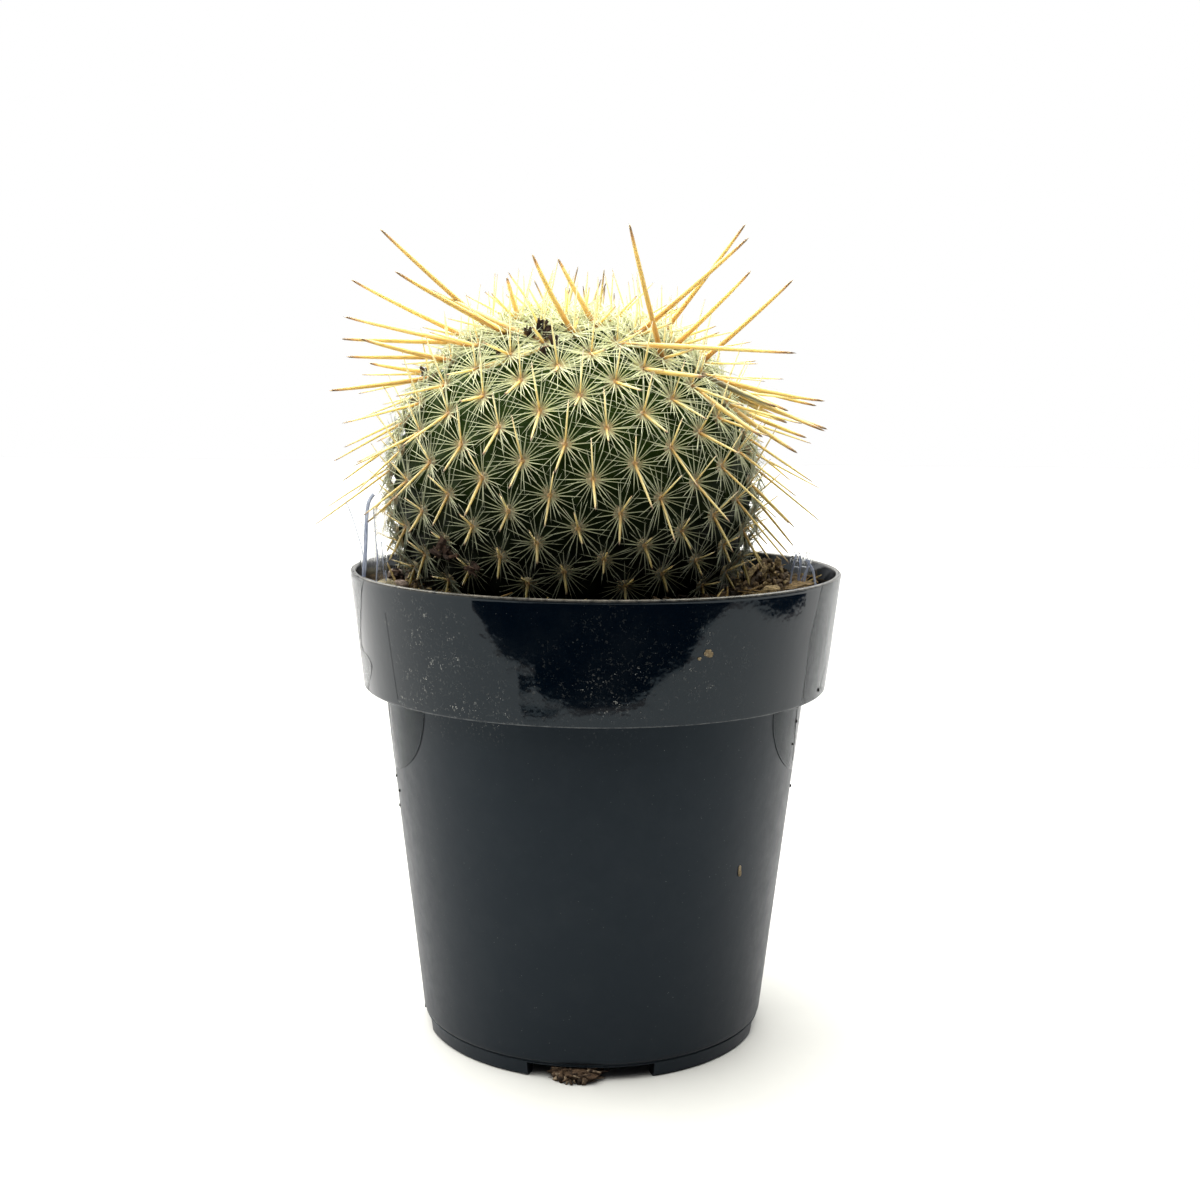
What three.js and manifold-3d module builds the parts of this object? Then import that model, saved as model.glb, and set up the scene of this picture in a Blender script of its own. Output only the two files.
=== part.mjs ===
// A round, spiny cactus growing in a black plastic nursery pot, with two loose strips of clear film.
// Millimetres, +Z up. The origin is the centre of the circle that the pot's feet stand on.
import * as THREE from "three";
import { mergeVertices } from "three/addons/utils/BufferGeometryUtils.js";
import Module from "manifold-3d";

const wasm = await Module();
wasm.setup();

const DEG = Math.PI / 180;
const GAP = 0.3; // clearance between pieces that touch

// Pot
const RIM_RADIUS = 45;
const POT_HEIGHT = 86;
const COLLAR_Z = 64.8; // underside of the collar
const COLLAR_RADIUS = 42.6; // collar at its underside
const BODY_RADIUS = 38.9; // body just under the collar
const BASE_RADIUS = 31.6;
const WALL = 1;
const FOOT_HEIGHT = 3;
const FOOT_INSET = 0.4;
const NOTCH_COUNT = 4;
const NOTCH_HALF_ANGLE = 22.5 * DEG;
const DRAIN_RADIUS = 4.5;
const DRAIN_CENTRE = 24;
const POT_SIDES = 48;
const SMALL_SIDES = 20;

// Potting mix
const MIX_Z = 82;
const MIX_CROWN = 0.8; // how much higher the mix is at the middle
const MIX_BUMP = 0.35;
const MIX_RINGS = [0, 3, 7, 12]; // where the surface has its points, inwards from the wall
const LUMP_LENGTH = [7.6, 8.2]; // from crest to crest of the bumps, across and along

// Stem: a spheroid through the tips of its tubercles, leaning a little
const STEM_CENTRE = new THREE.Vector3(-4.4, 0, 100);
const STEM_TILT = new THREE.Euler(-0.094, 0.078, 0);
const STEM_RADIUS = 33.1;
const STEM_HALF_HEIGHT = 32.7;
const TUBERCLE_HEIGHT = 2.9;
const TUBERCLE_REACH = 0.58; // radius at the foot, as a share of the spacing
const TUBERCLE_CURVE = 1.5; // 1 is a dome, more is pointed
const STEM_DETAIL = 10;
const BURIED_COLATITUDE = 128 * DEG; // below this the stem narrows to its root
const BURIED_SHRINK = 0.12;
const ROOT_TOP = new THREE.Vector2(6, -20); // radius and height from the stem's centre
const ROOT_SHOULDER = new THREE.Vector2(4.2, -37);
const ROOT_TIP = new THREE.Vector2(1.2, -62);
const ROOT_SIDES = 14;

// Areoles: the woolly cushions that carry the spines, one on each tubercle, in a growth spiral
const AREOLE_COUNT = 290;
const FIRST_AZIMUTH = 202.45 * DEG;
const TURN = 137.56 * DEG; // turn from one areole to the next
const COLATITUDE = [0.477 * DEG, 0.0946e-3 * DEG, -0.755e-6 * DEG]; // linear, square and cube of the index
const ROW_COUNT = 13; // spiral rows of neighbouring areoles
const FIRST_ROW_AREOLE = 32; // younger areoles sit in the crown wool
const FULL_SPACING = 8.1; // between neighbours in a row, where the stem is widest

// Spines
const CUSHION_HEIGHT = 0.8; // above the seat
const SIDE_REACH = 3.1; // radial spines across the row
const CUSHION_UNDER = 0.3;
const STRAND = 0.3; // half width of the interlaced radial spines between two areoles
const CENTRAL_LENGTH = 9;
const CENTRAL_RADIUS = 0.42;
const NEEDLE_SIDES = 3;
const CENTRAL_DROOP = 40 * DEG;
const LOW_SPINE_RISE = 28 * DEG; // spines close to the mix point up from it
const LOWEST_AREOLE = 3.2; // height of the lowest row areoles over the mix
const LONG_SPINE_ROWS = 4; // one areole in so many carries a long spine near the shoulder
const LONG_SPINE_LENGTH = 17.5;
const LONG_SPINE_RISE = 12 * DEG;
const SHOULDER = [18 * DEG, 48 * DEG]; // colatitudes between which the long spines grow
const CROWN_EDGE = 11.5 * DEG;
const CROWN_WOOL = 1.8; // thickness at the apex
const CROWN_WOOL_THINNING = 0.7;
const CROWN_STEPS = 5;
const CROWN_SPINE = [5, 11]; // shortest and longest of the young erect spines
const GOLDEN_SHARE = 0.618;

// Film strips over the rim
const FILM = 0.14;
const FILM_CLEAR = GAP + FILM / 2;
const FILM_WIDTH = 48;
const FOLD = 1; // from the strip's inner end to its upright flap
const FLAP_LEAN = [0.2, 0.6]; // inward lean of the flap at the rim and at its top
const STRIPS = [
  { name: "film_strip_left", middle: -90 * DEG, end: 24, touch: 50, flap: [-80 * DEG, 14, 98] },
  { name: "film_strip_right", middle: 96 * DEG, end: 16, touch: 52, flap: [88 * DEG, 9, 88.5] },
];

// Loose pieces on the mix: azimuth and turn in degrees, distance from the pot's axis, half sizes
const CHIPS = [
  { name: "bark_chip_01", azimuth: 72, reach: 38.2, size: [3, 1.7, 1.1], turn: 20 },
  { name: "bark_chip_02", azimuth: 88, reach: 36.2, size: [2.6, 1.2, 1], turn: 75 },
  { name: "bark_chip_03", azimuth: 58, reach: 38.6, size: [2.4, 1.5, 0.9], turn: -40 },
  { name: "bark_chip_04", azimuth: 118, reach: 37.5, size: [3, 1.4, 1.1], turn: 30 },
  { name: "bark_chip_05", azimuth: 168, reach: 39.2, size: [2.6, 1.6, 1], turn: 10 },
  { name: "bark_chip_06", azimuth: -148, reach: 40, size: [2.2, 1.3, 0.9], turn: 60 },
  { name: "grit_stone_01", azimuth: -66, reach: 40.2, size: [2, 1.6, 1.3], turn: 15 },
  { name: "grit_stone_02", azimuth: -118, reach: 40.4, size: [1.6, 1.3, 1], turn: 40 },
  { name: "grit_stone_03", azimuth: 142, reach: 38.6, size: [1.8, 1.4, 1.1], turn: -20 },
];
const CHIP_GAP = 0.5; // over the highest ground under a chip
const CHIP_ROUGHNESS = 0.25;
const ROOT_TUFT = { at: [-2.4, -28.6, 1.55], size: [4.6, 4.4, 1.15], roughness: 0.3, stalk: 2.4 };
const ROUGHNESS_WAVE = new THREE.Vector3(5, 7, 3);

const BLACK_PLASTIC = { color: 0x202428, roughness: 0.35 };
const SOIL = { color: 0x3a2a1e, roughness: 0.95 };
const GREEN = { color: 0x1f4a26, roughness: 0.6 };
const SPINE = { color: 0xe6dcb4, roughness: 0.55 };
const WOOL = { color: 0xe9e2cc, roughness: 0.9 };
const CLEAR_FILM = { color: 0xe8eef2, roughness: 0.1, transparent: true, opacity: 0.3 };
const BARK = { color: 0x7a5b36, roughness: 0.9 };
const GRIT = { color: 0xa8978c, roughness: 0.85 };
const ROOT = { color: 0x5d4532, roughness: 0.95 };

// ---- joining and cutting ----

function solid(geometry) {
  const bare = geometry.clone();
  bare.deleteAttribute("normal");
  bare.deleteAttribute("uv");
  const merged = mergeVertices(bare, 1e-4);
  const mesh = new wasm.Mesh({
    numProp: 3,
    vertProperties: new Float32Array(merged.attributes.position.array),
    triVerts: new Uint32Array(merged.index.array),
  });
  return new wasm.Manifold(mesh);
}

function geometryOf(manifold) {
  const mesh = manifold.getMesh();
  const geometry = new THREE.BufferGeometry();
  geometry.setAttribute("position", new THREE.BufferAttribute(mesh.vertProperties, 3));
  geometry.setIndex(new THREE.BufferAttribute(mesh.triVerts, 1));
  const faceted = geometry.toNonIndexed();
  faceted.computeVertexNormals();
  return faceted;
}

function named(name, geometry, finish) {
  const mesh = new THREE.Mesh(geometry, new THREE.MeshStandardMaterial({ metalness: 0, ...finish }));
  mesh.name = name;
  return mesh;
}

// A LatheGeometry turned so that the profile's second coordinate runs along +Z.
function lathe(points, sides) {
  const profile = points.map(([r, z]) => new THREE.Vector2(r, z));
  return new THREE.LatheGeometry(profile, sides).rotateX(Math.PI / 2);
}

function bareIcosphere(detail) {
  const sphere = new THREE.IcosahedronGeometry(1, detail);
  sphere.deleteAttribute("normal");
  sphere.deleteAttribute("uv");
  return sphere;
}

function between(a, b, share) {
  return a + (b - a) * share;
}

// ---- pot ----

function bodyRadius(z) {
  return between(BASE_RADIUS, BODY_RADIUS, z / COLLAR_Z);
}

function collarRadius(z) {
  return between(COLLAR_RADIUS, RIM_RADIUS, (z - COLLAR_Z) / (POT_HEIGHT - COLLAR_Z));
}

function potProfile() {
  const floor = FOOT_HEIGHT + WALL;
  const shelf = COLLAR_Z + WALL;
  const lip = WALL / 4;
  return [
    [0, FOOT_HEIGHT],
    [BASE_RADIUS - FOOT_INSET - 2 * WALL, FOOT_HEIGHT],
    [BASE_RADIUS - FOOT_INSET - 2 * WALL, 0],
    [BASE_RADIUS - FOOT_INSET, 0],
    [bodyRadius(FOOT_HEIGHT) - FOOT_INSET, FOOT_HEIGHT],
    [bodyRadius(FOOT_HEIGHT), FOOT_HEIGHT + FOOT_INSET],
    [BODY_RADIUS, COLLAR_Z],
    [COLLAR_RADIUS, COLLAR_Z],
    [RIM_RADIUS, POT_HEIGHT - lip],
    [RIM_RADIUS - lip, POT_HEIGHT],
    [RIM_RADIUS - WALL + lip, POT_HEIGHT],
    [RIM_RADIUS - WALL, POT_HEIGHT - lip],
    [collarRadius(shelf) - WALL, shelf],
    [bodyRadius(shelf) - WALL, shelf],
    [bodyRadius(floor) - WALL, floor],
    [0, floor],
  ];
}

// A wedge around an azimuth, from the axis outwards; azimuth 0 is the front and grows to the right.
function wedge(azimuth, halfAngle, reach, low, high) {
  const outline = new THREE.Shape();
  outline.moveTo(0, 0);
  for (const side of [-1, 0, 1]) {
    const angle = azimuth + side * halfAngle - Math.PI / 2;
    outline.lineTo(reach * Math.cos(angle), reach * Math.sin(angle));
  }
  const prism = new THREE.ExtrudeGeometry(outline, { depth: high - low, bevelEnabled: false });
  return solid(prism.translate(0, 0, low));
}

function drainHole(x, y) {
  const height = 4 * WALL;
  const hole = new THREE.CylinderGeometry(DRAIN_RADIUS, DRAIN_RADIUS, height, SMALL_SIDES);
  return solid(hole.rotateX(Math.PI / 2).translate(x, y, FOOT_HEIGHT + WALL / 2));
}

function pot() {
  let shell = solid(lathe(potProfile(), POT_SIDES)).subtract(drainHole(0, 0));
  for (let i = 0; i < NOTCH_COUNT; i++) {
    const azimuth = (i * 2 * Math.PI) / NOTCH_COUNT;
    const notch = wedge(azimuth, NOTCH_HALF_ANGLE, 2 * RIM_RADIUS, -WALL, FOOT_HEIGHT - FOOT_INSET);
    const drain = drainHole(DRAIN_CENTRE * Math.sin(azimuth), -DRAIN_CENTRE * Math.cos(azimuth));
    shell = shell.subtract(notch).subtract(drain);
  }
  return named("pot", geometryOf(shell), BLACK_PLASTIC);
}

// ---- potting mix ----

function mixHeight(x, y) {
  const dome = MIX_CROWN * (1 - (x * x + y * y) / (RIM_RADIUS * RIM_RADIUS));
  const [across, along] = LUMP_LENGTH.map((length) => (2 * Math.PI) / length);
  const wander = Math.sin((y * along) / 2);
  const bumps = Math.sin(x * across + wander) * Math.cos(y * along - wander);
  return MIX_Z + dome + MIX_BUMP * bumps;
}

function mixProfile() {
  const floor = FOOT_HEIGHT + WALL + GAP;
  const shelf = COLLAR_Z + WALL + GAP;
  const edge = collarRadius(MIX_Z) - WALL - GAP;
  return [
    [0, floor],
    [bodyRadius(floor) - WALL - GAP, floor],
    [bodyRadius(shelf - GAP) - WALL - GAP, shelf],
    [collarRadius(shelf) - WALL - GAP, shelf],
    ...MIX_RINGS.map((inwards) => [edge - inwards, MIX_Z]),
    [0, MIX_Z],
  ];
}

function pottingMix() {
  const body = lathe(mixProfile(), POT_SIDES);
  const position = body.attributes.position;
  for (let i = 0; i < position.count; i++) {
    if (position.getZ(i) > MIX_Z - GAP) position.setZ(i, mixHeight(position.getX(i), position.getY(i)));
  }
  const socket = new THREE.SphereGeometry(1, 2 * SMALL_SIDES, SMALL_SIDES).rotateX(Math.PI / 2);
  socket.scale(STEM_RADIUS + GAP, STEM_RADIUS + GAP, STEM_HALF_HEIGHT + GAP);
  const hollow = solid(socket).add(solid(rootGeometry(2 * GAP)));
  const mix = solid(body).subtract(hollow.transform(stemMatrix().elements));
  return named("potting_mix", geometryOf(mix), SOIL);
}

// ---- stem ----

function stemMatrix() {
  const turned = new THREE.Quaternion().setFromEuler(STEM_TILT);
  return new THREE.Matrix4().compose(STEM_CENTRE, turned, new THREE.Vector3(1, 1, 1));
}

// Where areole k grows, in the stem's own frame, with the outward normal and the way to the apex.
function areole(k) {
  const colatitude = COLATITUDE[0] * k + COLATITUDE[1] * k ** 2 + COLATITUDE[2] * k ** 3;
  const azimuth = FIRST_AZIMUTH + TURN * k;
  const level = new THREE.Vector3(Math.sin(azimuth), -Math.cos(azimuth), 0);
  const direction = level.clone().multiplyScalar(Math.sin(colatitude));
  direction.z = Math.cos(colatitude);
  const place = direction.clone().multiply(new THREE.Vector3(STEM_RADIUS, STEM_RADIUS, STEM_HALF_HEIGHT));
  const normal = place.clone().normalize();
  const upward = new THREE.Vector3(0, 0, 1).addScaledVector(normal, -normal.z).normalize();
  const height = place.clone().applyMatrix4(stemMatrix()).z;
  return { k, colatitude, direction, place, normal, upward, height };
}

const AREOLES = Array.from({ length: AREOLE_COUNT + ROW_COUNT }, (_, k) => areole(k));

// Distance to the next areole of the row, as a share of the widest spacing.
function scaleAt(k) {
  const next = AREOLES[Math.min(k + ROW_COUNT, AREOLES.length - 1)];
  const here = AREOLES[Math.min(k, AREOLES.length - 1 - ROW_COUNT)];
  return Math.min(1, here.place.distanceTo(next.place) / FULL_SPACING);
}

// How far the skin lies under the spheroid through the tips of the tubercles.
function skinDip(direction) {
  let nearest = AREOLES[0];
  let best = -1;
  for (const spot of AREOLES) {
    const closeness = direction.dot(spot.direction);
    if (closeness > best) {
      best = closeness;
      nearest = spot;
    }
  }
  const scale = scaleAt(nearest.k);
  const away = (Math.acos(Math.min(1, best)) * STEM_RADIUS) / (TUBERCLE_REACH * FULL_SPACING * scale);
  return TUBERCLE_HEIGHT * scale * (1 - Math.max(0, 1 - away * away) ** TUBERCLE_CURVE);
}

// The tapered root under the stem, or with spare the hole that the mix leaves for it.
function rootGeometry(spare) {
  const profile = [
    [0, ROOT_TIP.y - spare],
    [ROOT_TIP.x + spare, ROOT_TIP.y - spare],
    [ROOT_SHOULDER.x + spare, ROOT_SHOULDER.y],
    [ROOT_TOP.x + spare, ROOT_TOP.y],
    [0, ROOT_TOP.y],
  ];
  return lathe(profile, ROOT_SIDES);
}

function stem() {
  const body = mergeVertices(bareIcosphere(STEM_DETAIL));
  const position = body.attributes.position;
  const direction = new THREE.Vector3();
  for (let i = 0; i < position.count; i++) {
    direction.fromBufferAttribute(position, i).normalize();
    const colatitude = Math.acos(direction.z);
    const buried = THREE.MathUtils.smoothstep(colatitude, BURIED_COLATITUDE, Math.PI);
    const dip = skinDip(direction);
    direction.multiply(new THREE.Vector3(STEM_RADIUS - dip, STEM_RADIUS - dip, STEM_HALF_HEIGHT - dip));
    direction.multiplyScalar(1 - BURIED_SHRINK * buried);
    position.setXYZ(i, direction.x, direction.y, direction.z);
  }
  return named("stem", geometryOf(solid(body).add(solid(rootGeometry(0)))), GREEN);
}

// ---- spines ----

// A closed skin over four-cornered sections, pinched to a point at both ends.
function loft(sections, start, end) {
  const corners = [];
  sections[0].forEach((point, i) => corners.push(start, sections[0][(i + 1) % 4], point));
  for (let s = 1; s < sections.length; s++) {
    for (let i = 0; i < 4; i++) {
      const [near, nearNext] = [sections[s - 1][i], sections[s - 1][(i + 1) % 4]];
      const [far, farNext] = [sections[s][i], sections[s][(i + 1) % 4]];
      corners.push(near, nearNext, far, nearNext, farNext, far);
    }
  }
  sections.at(-1).forEach((point, i) => corners.push(end, point, sections.at(-1)[(i + 1) % 4]));
  return mergeVertices(new THREE.BufferGeometry().setFromPoints(corners));
}

// A flat four-cornered section across a spine row: left, top, right and bottom.
function rowSection(place, normal, along, reach, top, bottom) {
  const across = new THREE.Vector3().crossVectors(normal, along).normalize();
  return [
    place.clone().addScaledVector(across, -reach),
    place.clone().addScaledVector(normal, -bottom),
    place.clone().addScaledVector(across, reach),
    place.clone().addScaledVector(normal, top),
  ];
}

// A central spine from a place along a direction.
function needle(place, direction, length) {
  const cone = new THREE.ConeGeometry(CENTRAL_RADIUS, length, NEEDLE_SIDES).translate(0, length / 2, 0);
  const turn = new THREE.Quaternion().setFromUnitVectors(new THREE.Vector3(0, 1, 0), direction);
  return solid(cone.applyQuaternion(turn).translate(place.x, place.y, place.z));
}

function seat({ k, place, normal }) {
  return place.clone().addScaledVector(normal, GAP + CUSHION_UNDER * scaleAt(k));
}

function centralNeedle(spot, place) {
  const shoulder = spot.colatitude > SHOULDER[0] && spot.colatitude < SHOULDER[1];
  const long = shoulder && Math.floor(spot.k / ROW_COUNT + spot.k) % LONG_SPINE_ROWS === 0;
  const droop = spot.height > MIX_Z + CENTRAL_LENGTH ? -CENTRAL_DROOP : LOW_SPINE_RISE;
  const lean = long ? LONG_SPINE_RISE : droop;
  const direction = spot.normal.clone().multiplyScalar(Math.cos(lean));
  direction.addScaledVector(spot.upward, Math.sin(lean));
  return needle(place, direction, long ? LONG_SPINE_LENGTH : CENTRAL_LENGTH * scaleAt(spot.k));
}

// The radial spines and cushions of one row as a thin ribbon, wide at each areole and narrow between two.
function rowRibbon(spots, seats) {
  const sections = [];
  let along = seats[1].clone().sub(seats[0]).normalize();
  const start = seats[0].clone().addScaledVector(along, -SIDE_REACH * scaleAt(spots[0].k));
  spots.forEach(({ k, normal }, i) => {
    const scale = scaleAt(k);
    if (i + 1 < seats.length) along = seats[i + 1].clone().sub(seats[i]).normalize();
    const height = [CUSHION_HEIGHT * scale, CUSHION_UNDER * scale];
    sections.push(rowSection(seats[i], normal, along, SIDE_REACH * scale, ...height));
    if (i + 1 === seats.length) return;
    const halfway = seats[i].clone().lerp(seats[i + 1], 0.5);
    sections.push(rowSection(halfway, normal, along, STRAND, STRAND, STRAND));
  });
  const end = seats.at(-1).clone().addScaledVector(along, SIDE_REACH * scaleAt(spots.at(-1).k));
  return loft(sections, start, end);
}

function spineRow(row) {
  const spots = AREOLES.filter(
    ({ k, height }) => k % ROW_COUNT === row && k >= FIRST_ROW_AREOLE && height > MIX_Z + LOWEST_AREOLE,
  );
  const seats = spots.map(seat);
  const ribbon = solid(rowRibbon(spots, seats));
  const joined = spots.reduce((sum, spot, i) => sum.add(centralNeedle(spot, seats[i])), ribbon);
  return named(`spine_row_${String(row + 1).padStart(2, "0")}`, geometryOf(joined), SPINE);
}

// The wool over the apex, thickest in the middle.
function crownWool() {
  const underside = [];
  const top = [];
  for (let i = 0; i <= CROWN_STEPS; i++) {
    const out = i / CROWN_STEPS;
    const thickness = CROWN_WOOL * (1 - CROWN_WOOL_THINNING * out * out);
    for (const [side, lift] of [[underside, GAP], [top, GAP + thickness]]) {
      const radius = (STEM_RADIUS + lift) * Math.sin(CROWN_EDGE * out);
      side.push([radius, (STEM_HALF_HEIGHT + lift) * Math.cos(CROWN_EDGE * out)]);
    }
  }
  return solid(lathe([...underside, ...top.reverse()], SMALL_SIDES));
}

function crownTuft() {
  let joined = crownWool();
  for (const { k, place, normal, colatitude } of AREOLES) {
    const foot = place.clone().addScaledVector(normal, 2 * GAP);
    const length = between(...CROWN_SPINE, (k * GOLDEN_SHARE) % 1);
    if (colatitude < CROWN_EDGE * (1 - GAP / CROWN_WOOL)) joined = joined.add(needle(foot, normal, length));
  }
  return named("crown_tuft", geometryOf(joined), WOOL);
}

// ---- film strips ----

// The closed outline of a thin layer whose middle line runs through the points.
function layerOutline(points) {
  const side = (sign) =>
    points.map((point, i) => {
      const before = points[Math.max(0, i - 1)];
      const after = points[Math.min(points.length - 1, i + 1)];
      const along = new THREE.Vector2(after[0] - before[0], after[1] - before[1]).normalize();
      return [point[0] - (sign * along.y * FILM) / 2, point[1] + (sign * along.x * FILM) / 2];
    });
  const outline = [...side(1), ...side(-1).reverse()];
  return [...outline, outline[0]];
}

function layer(points, azimuth, width) {
  const ring = solid(lathe(layerOutline(points).reverse(), POT_SIDES));
  const halfAngle = width / 2 / RIM_RADIUS;
  return ring.intersect(wedge(azimuth, halfAngle, 2 * RIM_RADIUS, 0, 2 * POT_HEIGHT));
}

// flap holds the azimuth, width and top of the loose inner end.
function filmStrip({ name, middle, end, touch, flap }) {
  const [flapMiddle, flapWidth, flapTop] = flap;
  const inner = RIM_RADIUS - WALL - FILM_CLEAR;
  const bottom = MIX_Z + 2 * MIX_CROWN;
  const over = [
    [inner - FOLD, bottom],
    [inner, bottom + FOLD / 2],
    [inner, POT_HEIGHT + FILM_CLEAR / 2],
    [inner + FOLD / 2, POT_HEIGHT + FILM_CLEAR],
    [RIM_RADIUS, POT_HEIGHT + FILM_CLEAR],
    [RIM_RADIUS + FILM_CLEAR, POT_HEIGHT - FILM_CLEAR],
    [COLLAR_RADIUS + FILM_CLEAR, COLLAR_Z],
    [between(COLLAR_RADIUS, bodyRadius(touch), 1 / 2) + FILM_CLEAR, between(COLLAR_Z, touch, 1 / 2)],
    [bodyRadius(touch) + FILM_CLEAR, touch],
    [bodyRadius(end) + FILM_CLEAR, end],
  ];
  const upright = [
    [inner - FOLD, bottom],
    [inner - FOLD - FLAP_LEAN[0], POT_HEIGHT],
    [inner - FOLD - FLAP_LEAN[1], flapTop],
  ];
  const joined = layer(over, middle, FILM_WIDTH).add(layer(upright, flapMiddle, flapWidth));
  return named(name, geometryOf(joined), CLEAR_FILM);
}

// ---- loose pieces ----

function lump(detail, size, roughness) {
  const body = mergeVertices(bareIcosphere(detail));
  const position = body.attributes.position;
  const point = new THREE.Vector3();
  for (let i = 0; i < position.count; i++) {
    point.fromBufferAttribute(position, i);
    const bump = 1 - (roughness * (1 + Math.sin(point.dot(ROUGHNESS_WAVE) + i))) / 2;
    position.setXYZ(i, point.x * bump * size[0], point.y * bump * size[1], point.z * bump * size[2]);
  }
  return body;
}

function chip({ name, azimuth, reach, size, turn }) {
  const x = reach * Math.sin(azimuth * DEG);
  const y = -reach * Math.cos(azimuth * DEG);
  const body = lump(1, size, CHIP_ROUGHNESS).rotateZ(turn * DEG);
  const position = body.attributes.position;
  let lift = 0;
  for (let i = 0; i < position.count; i++) {
    const ground = mixHeight(x + position.getX(i), y + position.getY(i));
    lift = Math.max(lift, ground - position.getZ(i));
  }
  const finish = name.startsWith("bark") ? BARK : GRIT;
  return named(name, body.translate(x, y, lift + CHIP_GAP), finish);
}

// Roots and mix that have grown out through the front drain hole, held by a neck in the hole.
function rootTuft() {
  const [x, y, z] = ROOT_TUFT.at;
  const { size, roughness, stalk } = ROOT_TUFT;
  const head = lump(2, size, roughness).translate(x, y, z);
  const top = FOOT_HEIGHT + WALL;
  const neck = new THREE.CylinderGeometry(stalk, stalk, top - z, ROOT_SIDES).rotateX(Math.PI / 2);
  neck.translate(0, -DRAIN_CENTRE, (top + z) / 2);
  return named("root_tuft", geometryOf(solid(head).add(solid(neck))), ROOT);
}

// ---- assembly ----

const plant = new THREE.Group();
plant.position.copy(STEM_CENTRE);
plant.rotation.copy(STEM_TILT);
plant.add(stem(), crownTuft());
for (let row = 0; row < ROW_COUNT; row++) plant.add(spineRow(row));

const pottedCactus = new THREE.Group();
pottedCactus.add(pot(), pottingMix(), plant, rootTuft());
for (const strip of STRIPS) pottedCactus.add(filmStrip(strip));
for (const piece of CHIPS) pottedCactus.add(chip(piece));

export default pottedCactus;
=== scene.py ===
"""A small round cactus in a black nursery pot: its looks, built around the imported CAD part."""

import math
import random

import bpy
import numpy as np
from mathutils import Euler, Matrix, Vector, noise


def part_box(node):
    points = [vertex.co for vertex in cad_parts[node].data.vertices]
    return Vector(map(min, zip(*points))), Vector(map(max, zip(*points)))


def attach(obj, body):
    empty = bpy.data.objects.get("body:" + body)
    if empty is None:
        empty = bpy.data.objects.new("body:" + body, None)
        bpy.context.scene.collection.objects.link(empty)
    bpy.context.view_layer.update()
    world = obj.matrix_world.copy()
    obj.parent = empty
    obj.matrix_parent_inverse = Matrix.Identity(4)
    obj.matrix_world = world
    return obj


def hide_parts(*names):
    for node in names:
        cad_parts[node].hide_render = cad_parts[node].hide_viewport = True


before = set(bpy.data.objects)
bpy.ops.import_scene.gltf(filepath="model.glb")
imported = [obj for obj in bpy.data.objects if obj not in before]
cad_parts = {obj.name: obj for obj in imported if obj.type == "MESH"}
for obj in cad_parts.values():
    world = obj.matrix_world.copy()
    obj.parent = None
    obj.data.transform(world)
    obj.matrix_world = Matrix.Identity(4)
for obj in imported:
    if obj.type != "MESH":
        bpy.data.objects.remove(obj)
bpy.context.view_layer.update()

# noise_vector takes its offsets from the clock unless it has a seed.
NOISE_SEED = 1
noise.seed_set(NOISE_SEED)

# Pieces are modelled in millimetres, at their place in the row frame, and scaled once when they are finished.
MM = 0.001
WELD = 0.001
TURN = 2 * math.pi

# ---- sizes shared with the CAD source, in millimetres and degrees ----

RIM_RADIUS = 45.0
POT_HEIGHT = 86.0
COLLAR_Z = 64.8
COLLAR_RADIUS = 42.6
BODY_RADIUS = 38.9
BASE_RADIUS = 31.6
WALL = 1.0
FOOT_HEIGHT = 3.0
FOOT_INNER = 29.2
FOOT_OUTER = 31.2
NOTCH_HEIGHT = 2.6
NOTCH_AZIMUTHS = (0, 90, 180, 270)
DRAIN_RADIUS = 4.5
DRAIN_RING = 24.0

MIX_Z = 82.0
MIX_CROWN = 0.8
MIX_EDGE = 43.2

STEM_CENTRE = Vector((-4.4, 0, 100))
STEM_TURN = Euler((-0.094, 0.078, 0)).to_matrix()
STEM_RADII = Vector((33.1, 33.1, 32.7))
TUBERCLE_HEIGHT = 2.9
TUBERCLE_REACH = 0.58
TUBERCLE_PITCH = 8.1
TUBERCLE_CURVE = 1.5
AREOLE_COUNT = 290
AREOLES_ON_CROWN = 32
GOLDEN_ANGLE = 137.56
FIRST_AZIMUTH = 202.45
COLATITUDE = (0.477, 0.0946e-3, -0.755e-6)  # per areole, per areole squared and per areole cubed
SPIRALS = 13

FILM = 0.14
FILM_WIDTH = 48.0


def share_between(value, low, high):
    """0 at low and 1 at high, held at 0 and 1 beyond them."""
    return min(1.0, max(0.0, (value - low) / (high - low)))


def rgb(red, green, blue):
    return (red, green, blue, 1)


def level(azimuth):
    """The level direction at an azimuth in degrees: 0 faces the camera, 90 is to its right."""
    angle = math.radians(azimuth)
    return Vector((math.sin(angle), -math.cos(angle), 0))


def body_radius(height):
    return BASE_RADIUS + (BODY_RADIUS - BASE_RADIUS) * height / COLLAR_Z


def collar_radius(height):
    share = (height - COLLAR_Z) / (POT_HEIGHT - COLLAR_Z)
    return COLLAR_RADIUS + (RIM_RADIUS - COLLAR_RADIUS) * share


# ---- modelling ----

def deselect_all():
    bpy.ops.object.select_all(action="DESELECT")


def primitive(add, **settings):
    """A new mesh primitive, selected on its own. add is the operator that makes it."""
    deselect_all()
    add(**settings)
    return bpy.context.object


def start_edit():
    bpy.ops.object.mode_set(mode="EDIT")
    bpy.ops.mesh.select_all(action="SELECT")


def end_edit():
    bpy.ops.object.mode_set(mode="OBJECT")


def face_outwards():
    """Merges doubles and turns every face of the mesh in hand outwards."""
    bpy.ops.mesh.select_all(action="SELECT")
    bpy.ops.mesh.remove_doubles(threshold=WELD)
    bpy.ops.mesh.normals_make_consistent(inside=False)


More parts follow.
